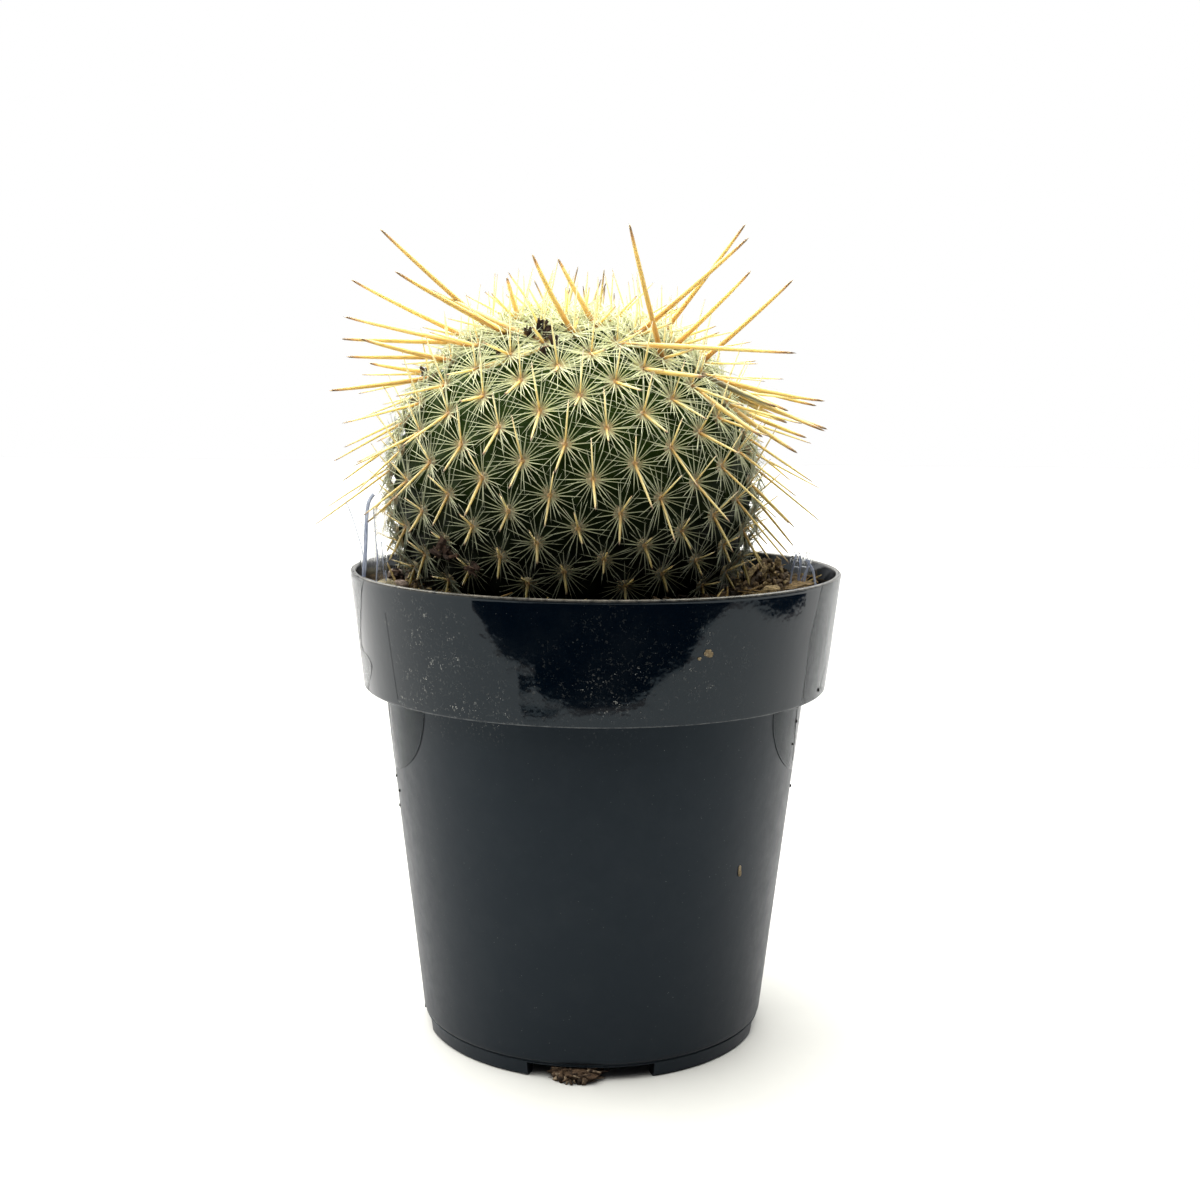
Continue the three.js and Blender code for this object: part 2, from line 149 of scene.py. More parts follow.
def apply_modifier(piece, kind, **settings):
    modifier = piece.modifiers.new(kind.lower(), kind)
    for name, value in settings.items():
        setattr(modifier, name, value)
    bpy.context.view_layer.objects.active = piece
    bpy.ops.object.modifier_apply(modifier=modifier.name)


def lathe(name, outline, steps):
    """Turns an outline of (radius, height) points round the upright axis."""
    piece = primitive(bpy.ops.mesh.primitive_plane_add, size=1)
    piece.name = name
    start_edit()
    bpy.ops.mesh.merge(type="CENTER")
    here = Vector((outline[0][0], 0, outline[0][1]))
    bpy.ops.transform.translate(value=here)
    for radius, height in outline[1:]:
        there = Vector((radius, 0, height))
        bpy.ops.mesh.extrude_region_move(TRANSFORM_OT_translate={"value": there - here})
        here = there
    bpy.ops.mesh.select_all(action="SELECT")
    bpy.ops.mesh.spin(steps=steps, angle=TURN, center=(0, 0, 0), axis=(0, 0, 1))
    face_outwards()
    end_edit()
    return piece


def cut_away(piece, cutter):
    """Cuts the cutter's shape out of the piece, and removes the cutter."""
    apply_modifier(piece, "BOOLEAN", object=cutter, operation="DIFFERENCE", solver="EXACT")
    bpy.data.objects.remove(cutter)


def points_of(piece):
    points = np.zeros(len(piece.data.vertices) * 3)
    piece.data.vertices.foreach_get("co", points)
    return points.reshape(-1, 3)


def move_points(piece, points):
    piece.data.vertices.foreach_set("co", np.asarray(points, float).ravel())
    piece.data.update()


def finish_piece(piece, materials, replaced=(), smooth_below=None):
    """Scales a piece from millimetres to metres, gives it its finish, and hands it to the frame."""
    piece.data.transform(Matrix.Scale(MM, 4))
    for material in materials:
        piece.data.materials.append(material)
    deselect_all()
    piece.select_set(True)
    bpy.context.view_layer.objects.active = piece
    if smooth_below is None:
        bpy.ops.object.shade_smooth()
    else:
        bpy.ops.object.shade_smooth_by_angle(angle=math.radians(smooth_below))
    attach(piece, "root")
    if replaced:
        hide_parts(*replaced)
    return piece


class Shape:
    """The points and faces of one small modelled shape, to be copied many times."""

    def __init__(self, piece):
        self.points = points_of(piece)
        self.faces = [tuple(face.vertices) for face in piece.data.polygons]
        bpy.data.objects.remove(piece)


class Bundle:
    """Copies of small shapes gathered into one piece, each copy with its own mesh.

    Each point carries two numbers for its material: how far it is along its copy, and the copy's own shade.
    """

    def __init__(self):
        self.points, self.faces, self.along, self.shades, self.finishes = [], [], [], [], []
        self.size = 0

    def add(self, shape, points, shade, finish=0):
        self.points.append(points)
        self.faces += [tuple(i + self.size for i in face) for face in shape.faces]
        self.along.append(shape.points[:, 2])
        self.shades.append(np.full(len(points), shade))
        self.finishes += [finish] * len(shape.faces)
        self.size += len(points)

    def add_line(self, shape, base, direction, length, radius, bow, shade, finish=0):
        self.add(shape, along_line(shape, base, direction, length, radius, bow), shade, finish)

    def make(self, name):
        mesh = bpy.data.meshes.new(name)
        mesh.from_pydata(np.concatenate(self.points).tolist(), [], self.faces)
        for attribute, values in (("along", self.along), ("shade", self.shades)):
            made = mesh.attributes.new(attribute, "FLOAT", "POINT")
            made.data.foreach_set("value", np.concatenate(values).astype(np.float32))
        mesh.polygons.foreach_set("material_index", self.finishes)
        piece = bpy.data.objects.new(name, mesh)
        bpy.context.scene.collection.objects.link(piece)
        return piece


def tapered_shape(sides, rings):
    """A needle one unit long: a ring of sides, extruded up through (height, radius) rings to a point."""
    piece = primitive(bpy.ops.mesh.primitive_circle_add, vertices=sides, radius=1, fill_type="NGON")
    start_edit()
    height, radius = 0, 1
    for next_height, next_radius in rings:
        rise = {"value": (0, 0, next_height - height)}
        bpy.ops.mesh.extrude_region_move(TRANSFORM_OT_translate=rise)
        share = next_radius / radius
        bpy.ops.transform.resize(value=(share, share, 1))
        height, radius = next_height, next_radius
    bpy.ops.mesh.extrude_region_move(TRANSFORM_OT_translate={"value": (0, 0, 1 - height)})
    bpy.ops.mesh.merge(type="CENTER")
    face_outwards()
    end_edit()
    return Shape(piece)


CRUMB_WAVE = 1.7
CRUMB_KNOCK = 0.30


def crumb_shape(seed):
    """An uneven crumb a unit across: a cube cut once each way, rounded and knocked about."""
    piece = primitive(bpy.ops.mesh.primitive_cube_add, size=1)
    start_edit()
    bpy.ops.mesh.subdivide(number_cuts=1, smoothness=0.4)
    end_edit()
    points = points_of(piece)
    for i, point in enumerate(points):
        shifted = Vector(point) * CRUMB_WAVE + Vector((seed, 0, 0))
        points[i] += CRUMB_KNOCK * np.array(noise.noise_vector(shifted))
    move_points(piece, points)
    return Shape(piece)


STRAIGHT = Vector((0, 0, 0))


def along_line(shape, base, direction, length, radius, bow=STRAIGHT):
    """The shape's points stretched from base along a direction, bowed aside towards its tip."""
    ahead = direction.normalized()
    side = ahead.orthogonal().normalized()
    across = ahead.cross(side)
    x, y, z = shape.points.T[:, :, None]
    return (np.array(base) + x * radius * np.array(side) + y * radius * np.array(across)
            + z * length * np.array(ahead) + z * z * np.array(bow))


def set_down(shape, place, size, turn):
    """The shape's points sized, turned and put at a place."""
    return shape.points * np.array(size) @ np.array(turn.to_matrix()).T + np.array(place)


def crumpled(points, size, depth, seed):
    """Points moved by smooth noise with features of a size, by up to a depth."""
    moved = np.array(points)
    for i, point in enumerate(points):
        moved[i] += depth * np.array(noise.noise_vector(Vector(point) / size + Vector((seed, seed, 0))))
    return moved


def lumpy_ball(subdivisions, *rounds):
    """A ball of radius 1, crumpled in rounds: the feature size, depth and seed of each."""
    ball = primitive(bpy.ops.mesh.primitive_ico_sphere_add, subdivisions=subdivisions, radius=1)
    points = points_of(ball)
    for size, depth, seed in rounds:
        points = crumpled(points, size, depth, seed)
    move_points(ball, points)
    return ball


def one_of_each(chance, *spans):
    """A random number from each (low, high) span."""
    return [chance.uniform(low, high) for low, high in spans]


# ---- shader nodes ----

def put(tree, socket, value):
    if isinstance(value, bpy.types.NodeSocket):
        tree.links.new(value, socket)
    else:
        socket.default_value = value


def node(tree, kind, values=None, **settings):
    made = tree.nodes.new("ShaderNode" + kind)
    for name, value in settings.items():
        setattr(made, name, value)
    for socket, value in (values or {}).items():
        put(tree, made.inputs[socket], value)
    return made


def mixed(tree, share, first, second):
    mix = tree.nodes.new("ShaderNodeMix")
    mix.data_type = "RGBA"
    for index, value in ((0, share), (6, first), (7, second)):
        put(tree, mix.inputs[index], value)
    return mix.outputs[2]


def sums(tree, operation, first, second, clamp=False):
    return node(tree, "Math", {0: first, 1: second}, operation=operation, use_clamp=clamp).outputs[0]


def times(tree, first, second):
    return sums(tree, "MULTIPLY", first, second)


def along_axis(tree, place, axis):
    """How far a place lies along X, Y or Z."""
    return node(tree, "SeparateXYZ", {"Vector": place}).outputs[axis]


def ranged(tree, value, low, high, to_low=0.0, to_high=1.0):
    values = {"Value": value, "From Min": low, "From Max": high, "To Min": to_low, "To Max": to_high}
    return node(tree, "MapRange", values).outputs[0]


def ramp(tree, share, stops):
    made = node(tree, "ValToRGB", {"Fac": share})
    elements = made.color_ramp.elements
    while len(elements) < len(stops):
        elements.new(0.5)
    for element, (position, colour) in zip(elements, stops):
        element.position = position
        element.color = colour
    return made.outputs["Color"]


def noise_of(tree, vector, scale, detail=3.0, roughness=0.5):
    values = {"Vector": vector, "Scale": scale, "Detail": detail, "Roughness": roughness}
    return node(tree, "TexNoise", values).outputs["Fac"]


def attribute(tree, name):
    return node(tree, "Attribute", attribute_name=name).outputs["Fac"]


def material_of(name, constants):
    """A new material: its tree, its shader with plain constants, and Object coordinates in millimetres."""
    material = bpy.data.materials.new(name)
    material.use_nodes = True
    tree = material.node_tree
    shader = tree.nodes["Principled BSDF"]
    for socket, value in constants.items():
        shader.inputs[socket].default_value = value
    place = node(tree, "TexCoord").outputs["Object"]
    millimetres = node(tree, "Mapping", {"Vector": place, "Scale": (1 / MM,) * 3}).outputs[0]
    return material, tree, shader, millimetres


def effect_group(name, inputs, output, kind):
    """A node group with named inputs and one output. Gives the group, its input sockets and the exit."""
    group = bpy.data.node_groups.new(name, "ShaderNodeTree")
    for socket, socket_kind in inputs:
        group.interface.new_socket(socket, in_out="INPUT", socket_type="NodeSocket" + socket_kind)
    group.interface.new_socket(output, in_out="OUTPUT", socket_type="NodeSocket" + kind)
    entry = group.nodes.new("NodeGroupInput")
    leave = group.nodes.new("NodeGroupOutput")
    return group, entry.outputs, leave.inputs[0]


def placed(tree, group, values):
    made = tree.nodes.new("ShaderNodeGroup")
    made.node_tree = group
    for socket, value in values.items():
        put(tree, made.inputs[socket], value)
    return made.outputs[0]


def make_mottle():
    """Two colours blended by coarse and fine noise, as on bark, skin and soil."""
    inputs = (("Vector", "Vector"), ("Scale", "Float"), ("Dark", "Color"), ("Light", "Color"))
    group, given, leave = effect_group("mottle", inputs, "Color", "Color")
    coarse = noise_of(group, given["Vector"], given["Scale"], 5.0, 0.6)
    fine_scale = times(group, given["Scale"], 4.3)
    fine = noise_of(group, given["Vector"], fine_scale, 4.0, 0.7)
    both = sums(group, "ADD", times(group, coarse, 0.6), times(group, fine, 0.4))
    share = ranged(group, both, 0.36, 0.64)
    put(group, leave, mixed(group, share, given["Dark"], given["Light"]))
    return group


def make_specks():
    """A mask of small scattered specks. Amount runs from 0, none, to 1, many."""
    inputs = (("Vector", "Vector"), ("Scale", "Float"), ("Amount", "Float"))
    group, given, leave = effect_group("specks", inputs, "Mask", "Float")
    cells = node(group, "TexVoronoi", {"Vector": given["Vector"], "Scale": given["Scale"]})
    patch_scale = times(group, given["Scale"], 0.31)
    patches = noise_of(group, given["Vector"], patch_scale, 4.0, 0.75)
    reach = times(group, ranged(group, patches, 0.42, 0.66), given["Amount"])
    edge = sums(group, "SUBTRACT", times(group, reach, 0.6), cells.outputs["Distance"])
    put(group, leave, ranged(group, edge, 0.0, 0.08))
    return group


def make_relief():
    """An uneven height, from broad swells to fine grain."""
    inputs = (("Vector", "Vector"), ("Scale", "Float"), ("Grain", "Float"))
    group, given, leave = effect_group("relief", inputs, "Height", "Float")
    broad = noise_of(group, given["Vector"], given["Scale"], 4.0, 0.55)
    grain_scale = times(group, given["Scale"], 7.0)
    grain = noise_of(group, given["Vector"], grain_scale, 3.0, 0.6)
    put(group, leave, sums(group, "ADD", broad, times(group, grain, given["Grain"])))
    return group


MOTTLE = make_mottle()
SPECKS = make_specks()
RELIEF = make_relief()


def mottled(tree, vector, scale, dark, light):
    return placed(tree, MOTTLE, {"Vector": vector, "Scale": scale, "Dark": dark, "Light": light})


def specked(tree, vector, scale, amount):
    return placed(tree, SPECKS, {"Vector": vector, "Scale": scale, "Amount": amount})


def roughen(tree, shader, vector, scale, grain, depth):
    """Makes the surface uneven, by up to a depth in millimetres."""
    relief = placed(tree, RELIEF, {"Vector": vector, "Scale": scale, "Grain": grain})
    bump = node(tree, "Bump", {"Height": relief, "Distance": depth * MM})
    put(tree, shader.inputs["Normal"], bump.outputs["Normal"])


# ---- finishes ----

# Where chalky water marks lie on the collar: (place, radius) in millimetres.
MINERAL_PATCHES = (
    ((-28.9, -32.9, 76), 13), ((-28, -32, 68), 11), ((-21, -37, 66.5), 9),
    ((3.0, -43.5, 72), 15), ((18.5, -39, 74), 12), ((-14, -41, 70), 10),
)


def chalk_marks(tree, place):
    """Where water has left chalk on the collar: clusters of specks and flakes, thickest at the left."""
    marks = 0.0
    for centre, radius in MINERAL_PATCHES:
        away = node(tree, "VectorMath", {0: place, 1: centre}, operation="DISTANCE").outputs["Value"]
        marks = sums(tree, "MAXIMUM", marks, ranged(tree, away, radius, radius * 0.2, 0.0, 0.85))
    broken = ranged(tree, noise_of(tree, place, 0.22, 3.0, 0.6), 0.4, 0.62, 0.25, 1.0)
    clusters = ranged(tree, noise_of(tree, place, 0.30, 4.0, 0.65), 0.44, 0.58, 0.25, 1.0)
    clustered = times(tree, clusters, times(tree, marks, broken))
    specks = specked(tree, place, 2.5, clustered)
    flakes = times(tree, ranged(tree, noise_of(tree, place, 1.7, 5.0, 0.75), 0.57, 0.66), clustered)
    chalk = sums(tree, "MAXIMUM", times(tree, specks, 0.9), times(tree, flakes, 0.6))
    return times(tree, chalk, ranged(tree, along_axis(tree, place, "X"), -24.0, -12.0, 1.0, 0.34))


def black_plastic():
    """Nursery-pot black: glossy collar, satin body, water marks, lip dust, fine scuffs, a painted edge
    highlight.
    """
    constants = {"IOR": 1.345, "Specular Tint": rgb(0.68, 0.88, 1.0), "Coat Roughness": 0.04}
    material, tree, shader, place = material_of("black_plastic", constants)
    height = along_axis(tree, place, "Z")
    on_collar = ranged(tree, height, COLLAR_Z - 0.1, COLLAR_Z + 0.05)
    on_lip = ranged(tree, height, POT_HEIGHT - 0.5, POT_HEIGHT - 0.1)
    low_edge = times(tree, ranged(tree, height, COLLAR_Z + 0.30, COLLAR_Z + 0.12), on_collar)
    colour = mixed(tree, on_collar, rgb(0.0070, 0.0088, 0.0124), rgb(0.0002, 0.0014, 0.0032))
    haze = ranged(tree, noise_of(tree, place, 0.12, 5.0, 0.65), 0.45, 0.75, 0.0, 0.006)
    dust = times(tree, specked(tree, place, 1.5, 0.24), 0.30)
    lip_dust = ranged(tree, noise_of(tree, place, 0.9, 4.0, 0.7), 0.35, 0.7, 0.05, 0.42)
    # Painted highlight: a light grey line along the collar's lower edge, broken up by noise.
    painted_edge_highlight = ranged(tree, noise_of(tree, place, 0.5, 4.0, 0.7), 0.3, 0.7, 0.02, 0.5)
    for share, layer in ((haze, rgb(0.55, 0.58, 0.60)), (chalk_marks(tree, place), rgb(0.84, 0.84, 0.78)),
                         (dust, rgb(0.40, 0.39, 0.36)),
                         (times(tree, on_lip, lip_dust), rgb(0.30, 0.27, 0.23)),
                         (times(tree, low_edge, painted_edge_highlight), rgb(0.34, 0.35, 0.35))):
        colour = mixed(tree, share, colour, layer)
    put(tree, shader.inputs["Base Color"], colour)
    worn = noise_of(tree, place, 0.35, 6.0, 0.7)
    satin = ranged(tree, worn, 0.3, 0.7, 0.30, 0.40)
    gloss = ranged(tree, worn, 0.35, 0.8, 0.04, 0.08)
    put(tree, shader.inputs["Coat Weight"], times(tree, on_collar, 0.25))
    smooth = times(tree, on_collar, sums(tree, "SUBTRACT", satin, gloss))
    roughness = sums(tree, "SUBTRACT", satin, smooth)
    roughness = sums(tree, "ADD", roughness, times(tree, on_lip, 0.2), clamp=True)
    put(tree, shader.inputs["Roughness"], roughness)
    roughen(tree, shader, place, scale=0.10, grain=0.012, depth=0.09)
    return material


def speckled_finish(name, constants, mottle, specks, relief, drawn_out=(1, 1, 1)):
    """Soil, bark or stone: mottled, with specks of another colour.

    Mottle holds scale, dark and light; specks scale, amount and colour; relief scale, grain and depth.
    Drawn_out squeezes the pattern along X, Y and Z, so that the least squeezed way becomes its grain.
    """
    material, tree, shader, place = material_of(name, constants)
    place = node(tree, "Mapping", {"Vector": place, "Scale": drawn_out}).outputs[0]
    scale, amount, fleck = specks
    colour = mixed(tree, specked(tree, place, scale, amount), mottled(tree, place, *mottle), fleck)
    put(tree, shader.inputs["Base Color"], colour)
    roughen(tree, shader, place, *relief)
    return material


def crumb_finish(name, dark, light, pale):
    """Loose bits, each with its own shade between dark and pale, and a grain across it."""
    material, tree, shader, place = material_of(name, {"Roughness": 0.8, "Specular IOR Level": 0.3})
    own = ramp(tree, attribute(tree, "shade"), ((0.0, dark), (0.6, light), (1.0, pale)))
    worn = mottled(tree, place, 2.2, dark, own)
    put(tree, shader.inputs["Base Color"], worn)
    roughen(tree, shader, place, scale=2.0, grain=0.5, depth=0.4)
    return material


# Painted shade: the plant's colours are darkened towards the mix, most at and below this height.
DEEPEST_SHADE_HEIGHT = MIX_Z + 4.0
SHADE_TINT = 0.92  # of the red and blue that are left in the painted shade at the bottom


def painted_low_shade(tree, place, colour, least, lit_height, curve=1.0):
    """The colour as it is up high, fading to a share of it down at the mix: painted shade, darker towards the
    bottom.
    """
    height = along_axis(tree, place, "Z")
    lit_share = sums(tree, "POWER", ranged(tree, height, DEEPEST_SHADE_HEIGHT, lit_height), curve)
    painted_shade = mixed(tree, lit_share, rgb(least * SHADE_TINT, least, least * SHADE_TINT), rgb(1.0, 1.0, 1.0))
    return node(tree, "VectorMath", {0: colour, 1: painted_shade}, operation="MULTIPLY").outputs[0]


def skin_finish():
    """Cactus skin: deep waxy green, lighter on the tips, painted shade in the valleys and towards the soil,
    where it browns.
    """
    constants = {"Specular IOR Level": 0.05, "Roughness": 0.55}
    material, tree, shader, place = material_of("green_skin", constants)
    tip = attribute(tree, "tip_share")
    height = along_axis(tree, place, "Z")
    # Painted shade: the valleys between the tubercles are several times darker than the tips.
    painted_valley_shade = mottled(tree, place, 0.35, rgb(0.003, 0.012, 0.002), rgb(0.008, 0.023, 0.003))
    crest = mottled(tree, place, 0.5, rgb(0.022, 0.052, 0.003), rgb(0.048, 0.090, 0.005))
    green = mixed(tree, tip, painted_valley_shade, crest)
    dots = specked(tree, place, 4.0, 0.8)
    green = mixed(tree, times(tree, dots, 0.35), green, rgb(0.15, 0.24, 0.11))
    corky = ranged(tree, height, MIX_Z + 9, MIX_Z - 2)
    green = mixed(tree, times(tree, corky, 0.6), green, rgb(0.030, 0.030, 0.014))
    # Painted shade: the skin darkens to nearly black towards the mix.
    put(tree, shader.inputs["Base Color"], painted_low_shade(tree, place, green, 0.03, 124.0, 1.8))
    roughen(tree, shader, place, scale=0.9, grain=0.25, depth=0.15)
    return material


def spine_finish(name, stops, spread, least, glow=0.0):
    """Spine horn, coloured from base to tip by the stops, each spine a little lighter or darker.

    Spread is how much the spines differ, least the share of colour left under painted shade at the mix, and
    glow how much light soaks into the horn.
    """
    constants = {"Roughness": 0.45, "Specular IOR Level": 0.2, "Subsurface Weight": glow,
                 "Subsurface Radius": (1.0, 0.9, 0.7), "Subsurface Scale": 0.0018,
                 "Sheen Weight": 0.2 * (1 - glow), "Sheen Roughness": 0.4}
    material, tree, shader, place = material_of(name, constants)
    colour = ramp(tree, attribute(tree, "along"), stops)
    grain = noise_of(tree, place, 1.3, 3.0, 0.6)
    shade = ranged(tree, attribute(tree, "shade"), 0.0, 1.0, 1.0 - spread, 1.0 + spread)
    value = times(tree, shade, ranged(tree, grain, 0.3, 0.7, 0.94, 1.05))
    colour = node(tree, "HueSaturation", {"Value": value, "Color": colour}).outputs[0]
    # Painted shade: the spines darken towards the mix.
    put(tree, shader.inputs["Base Color"], painted_low_shade(tree, place, colour, least, 118.0))
    return material


def wool_finish(name, deep, pale):
    """Felted wool: matt, with a soft sheen, deeper at its roots, and darkened towards the mix by painted
    shade.
    """
    constants = {"Roughness": 0.95, "Specular IOR Level": 0.15, "Sheen Weight": 0.4, "Sheen Roughness": 0.6}
    material, tree, shader, place = material_of(name, constants)
    own = mixed(tree, attribute(tree, "shade"), deep, pale)
    felt = mottled(tree, place, 1.8, deep, own)
    tip = mixed(tree, ranged(tree, attribute(tree, "along"), 0.2, 0.8), felt, own)
    # Painted shade: the wool darkens towards the mix.
    put(tree, shader.inputs["Base Color"], painted_low_shade(tree, place, tip, 0.72, 112.0))
    roughen(tree, shader, place, scale=2.4, grain=0.8, depth=0.3)
    return material


def film_finish():
    """Clear packing film: glassy, finely creased."""
    constants = {"Transmission Weight": 1.0, "IOR": 1.03, "Metallic": 0.0, "Coat Roughness": 0.08}
    material, tree, shader, place = material_of("clear_film", constants)
    height = along_axis(tree, place, "Z")
    on_collar = ranged(tree, height, COLLAR_Z, COLLAR_Z + 0.5)
    below_lip = ranged(tree, height, POT_HEIGHT - 0.3, POT_HEIGHT - 0.8)
    by_side = ranged(tree, along_axis(tree, place, "X"), -10.0, 10.0, 0.20, 0.0)
    shine = times(tree, times(tree, on_collar, below_lip), by_side)
    put(tree, shader.inputs["Coat Weight"], sums(tree, "ADD", shine, 0.02))
    rubbed = noise_of(tree, place, 0.3, 5.0, 0.7)
    drawn = node(tree, "Mapping", {"Vector": place, "Scale": (1.0, 1.0, 0.22)}).outputs[0]
    streaks = ranged(tree, noise_of(tree, drawn, 1.6, 4.0, 0.7), 0.35, 0.75)
    put(tree, shader.inputs["Base Color"], mixed(tree, streaks, rgb(0.86, 0.87, 0.87), rgb(0.78, 0.79, 0.79)))
    put(tree, shader.inputs["Roughness"], ranged(tree, rubbed, 0.3, 0.8, 0.01, 0.05))
    roughen(tree, shader, drawn, scale=0.35, grain=0.06, depth=0.2)
    return material


def fold_finish(name, dark, light, bend, clear):
    """Folded and crumpled film, mottled between a dark and a light colour: painted shade and painted
    highlight.

    Bend is how strongly it refracts, and clear the share of light that it lets through.
    """
    constants = {"Transmission Weight": clear, "IOR": bend, "Metallic": 0.0,
                 "Coat Weight": 0.08, "Coat Roughness": 0.1}
    material, tree, shader, place = material_of(name, constants)
    drawn = node(tree, "Mapping", {"Vector": place, "Scale": (1.0, 1.0, 0.25)}).outputs[0]
    # Painted shade and highlight: the colour is mottled between the dark and the light colour.
    put(tree, shader.inputs["Base Color"], mottled(tree, drawn, 1.2, dark, light))
    put(tree, shader.inputs["Roughness"], ranged(tree, noise_of(tree, place, 0.8), 0.3, 0.7, 0.05, 0.22))
    roughen(tree, shader, drawn, scale=0.8, grain=0.2, depth=0.5)
    return material


def film_edge_finish():
    """The edge of clinging film, drawn as a fine dark line of painted shade, with dust along it."""
    material, tree, shader, place = material_of("film_edge", {"Specular IOR Level": 0.0})
    # Painted shade: a near-black thread stands for the dark line at the film's edge.
    colour = mottled(tree, place, 0.9, rgb(0.008, 0.009, 0.011), rgb(0.036, 0.038, 0.042))
    put(tree, shader.inputs["Base Color"], colour)
    put(tree, shader.inputs["Roughness"], ranged(tree, noise_of(tree, place, 1.5), 0.3, 0.7, 0.35, 0.6))
    return material


# ---- the pot ----

POT_STEPS = 160
NOTCH_HALF_ANGLE = 20.5  # degrees: a little narrower than in CAD, as the photo shows
NOTCH_REACH = (20.0, 40.0)
DRAIN_SIDES = 40
DRAIN_DEPTH = 4.0


def pot_outline():
    """The wall from the underside's centre, out over foot, body, collar and lip, and back down inside.

    The offsets of less than half a millimetre round off its edges.
    """
    body_foot = body_radius(FOOT_HEIGHT)
    foot = [(0, FOOT_HEIGHT), (FOOT_INNER - 0.3, FOOT_HEIGHT), (FOOT_INNER, FOOT_HEIGHT - 0.3),
            (FOOT_INNER, 0.25), (FOOT_INNER + 0.25, 0), (FOOT_OUTER - 0.25, 0), (FOOT_OUTER + 0.2, 0.4),
            (body_foot - 0.2, FOOT_HEIGHT - 0.3), (body_foot - 0.42, FOOT_HEIGHT - 0.15),
            (body_foot - 0.42, FOOT_HEIGHT), (body_foot - 0.08, FOOT_HEIGHT + 0.2)]
    heights = (FOOT_HEIGHT + 0.5, *np.linspace(FOOT_HEIGHT + 1, COLLAR_Z - 0.9, 12), COLLAR_Z - 0.5)
    body = [(body_radius(height), height) for height in heights]
    step = [(BODY_RADIUS + 0.15, COLLAR_Z - 0.2), (BODY_RADIUS + 0.5, COLLAR_Z),
            (COLLAR_RADIUS - 0.30, COLLAR_Z), (COLLAR_RADIUS - 0.06, COLLAR_Z + 0.05),
            (COLLAR_RADIUS, COLLAR_Z + 0.16)]
    heights = (COLLAR_Z + 0.4, *np.linspace(COLLAR_Z + 0.8, POT_HEIGHT - 0.9, 8), POT_HEIGHT - 0.6)
    collar = [(collar_radius(height), height) for height in heights]
    inner_rim = RIM_RADIUS - WALL
    lip = [(RIM_RADIUS, POT_HEIGHT - 0.4), (RIM_RADIUS - 0.08, POT_HEIGHT - 0.12),
           (RIM_RADIUS - 0.3, POT_HEIGHT), (inner_rim + 0.3, POT_HEIGHT),
           (inner_rim + 0.08, POT_HEIGHT - 0.12), (inner_rim, POT_HEIGHT - 0.4)]
    ledge = COLLAR_Z + WALL
    floor = FOOT_HEIGHT + WALL
    floor_edge = body_radius(floor) - WALL
    inside = [(collar_radius(ledge) - WALL, ledge), (body_radius(ledge) - WALL, ledge),
              (floor_edge + 0.1, floor + 0.3), (floor_edge - 0.3, floor), (0, floor)]
    return foot + body + step + collar + lip + inside


def drain_cutter(place):
    return primitive(bpy.ops.mesh.primitive_cylinder_add, vertices=DRAIN_SIDES, radius=DRAIN_RADIUS,
                     depth=DRAIN_DEPTH, location=place)


def notch_cutter(azimuth):
    """A wedge from the pot's axis out past the foot ring, as high as the notch."""
    piece = primitive(bpy.ops.mesh.primitive_cube_add, size=2)
    near, far = NOTCH_REACH
    points = points_of(piece)
    for i, (x, y, z) in enumerate(points):
        side = level(azimuth + math.copysign(NOTCH_HALF_ANGLE, x))
        foot = side * (near if y > 0 else far)
        points[i] = (foot.x, foot.y, NOTCH_HEIGHT if z > 0 else -1)
    move_points(piece, points)
    return piece


def nursery_pot(finish):
    pot = lathe("nursery_pot", pot_outline(), POT_STEPS)
    for azimuth in NOTCH_AZIMUTHS:
        cut_away(pot, notch_cutter(azimuth))
        cut_away(pot, drain_cutter(level(azimuth) * DRAIN_RING + Vector((0, 0, FOOT_HEIGHT))))
    cut_away(pot, drain_cutter((0, 0, FOOT_HEIGHT)))
    return finish_piece(pot, [finish], ["pot"], smooth_below=40)


# ---- the plant: where its areoles are ----

def areole_direction(number):
    """The direction of an areole from the stem's centre, in the stem's own frame."""
    degrees = sum(factor * number ** power for power, factor in enumerate(COLATITUDE, start=1))
    colatitude = math.radians(degrees)
    around = level(FIRST_AZIMUTH + GOLDEN_ANGLE * number)
    return around * math.sin(colatitude) + Vector((0, 0, math.cos(colatitude)))


CROWN_DROP = 2.4
CROWN_ANGLE = 40.0
CROWN_CURVE = 1.3
YOUNG_SPAN = (76.0, 30.0)  # degrees from the growing point, between which areoles get younger


def crown_drop(colatitude):
    """How far the crown lies below the round outline, at an angle in degrees from the growing point."""
    return CROWN_DROP * max(0.0, 1 - colatitude / CROWN_ANGLE) ** CROWN_CURVE


def on_stem(direction):
    """The point of the stem's outline in a direction, in the row frame."""
    drop = crown_drop(math.degrees(math.acos(max(-1.0, min(1.0, direction.z)))))
    return STEM_CENTRE + STEM_TURN @ Vector(a * (b - drop) for a, b in zip(direction, STEM_RADII))


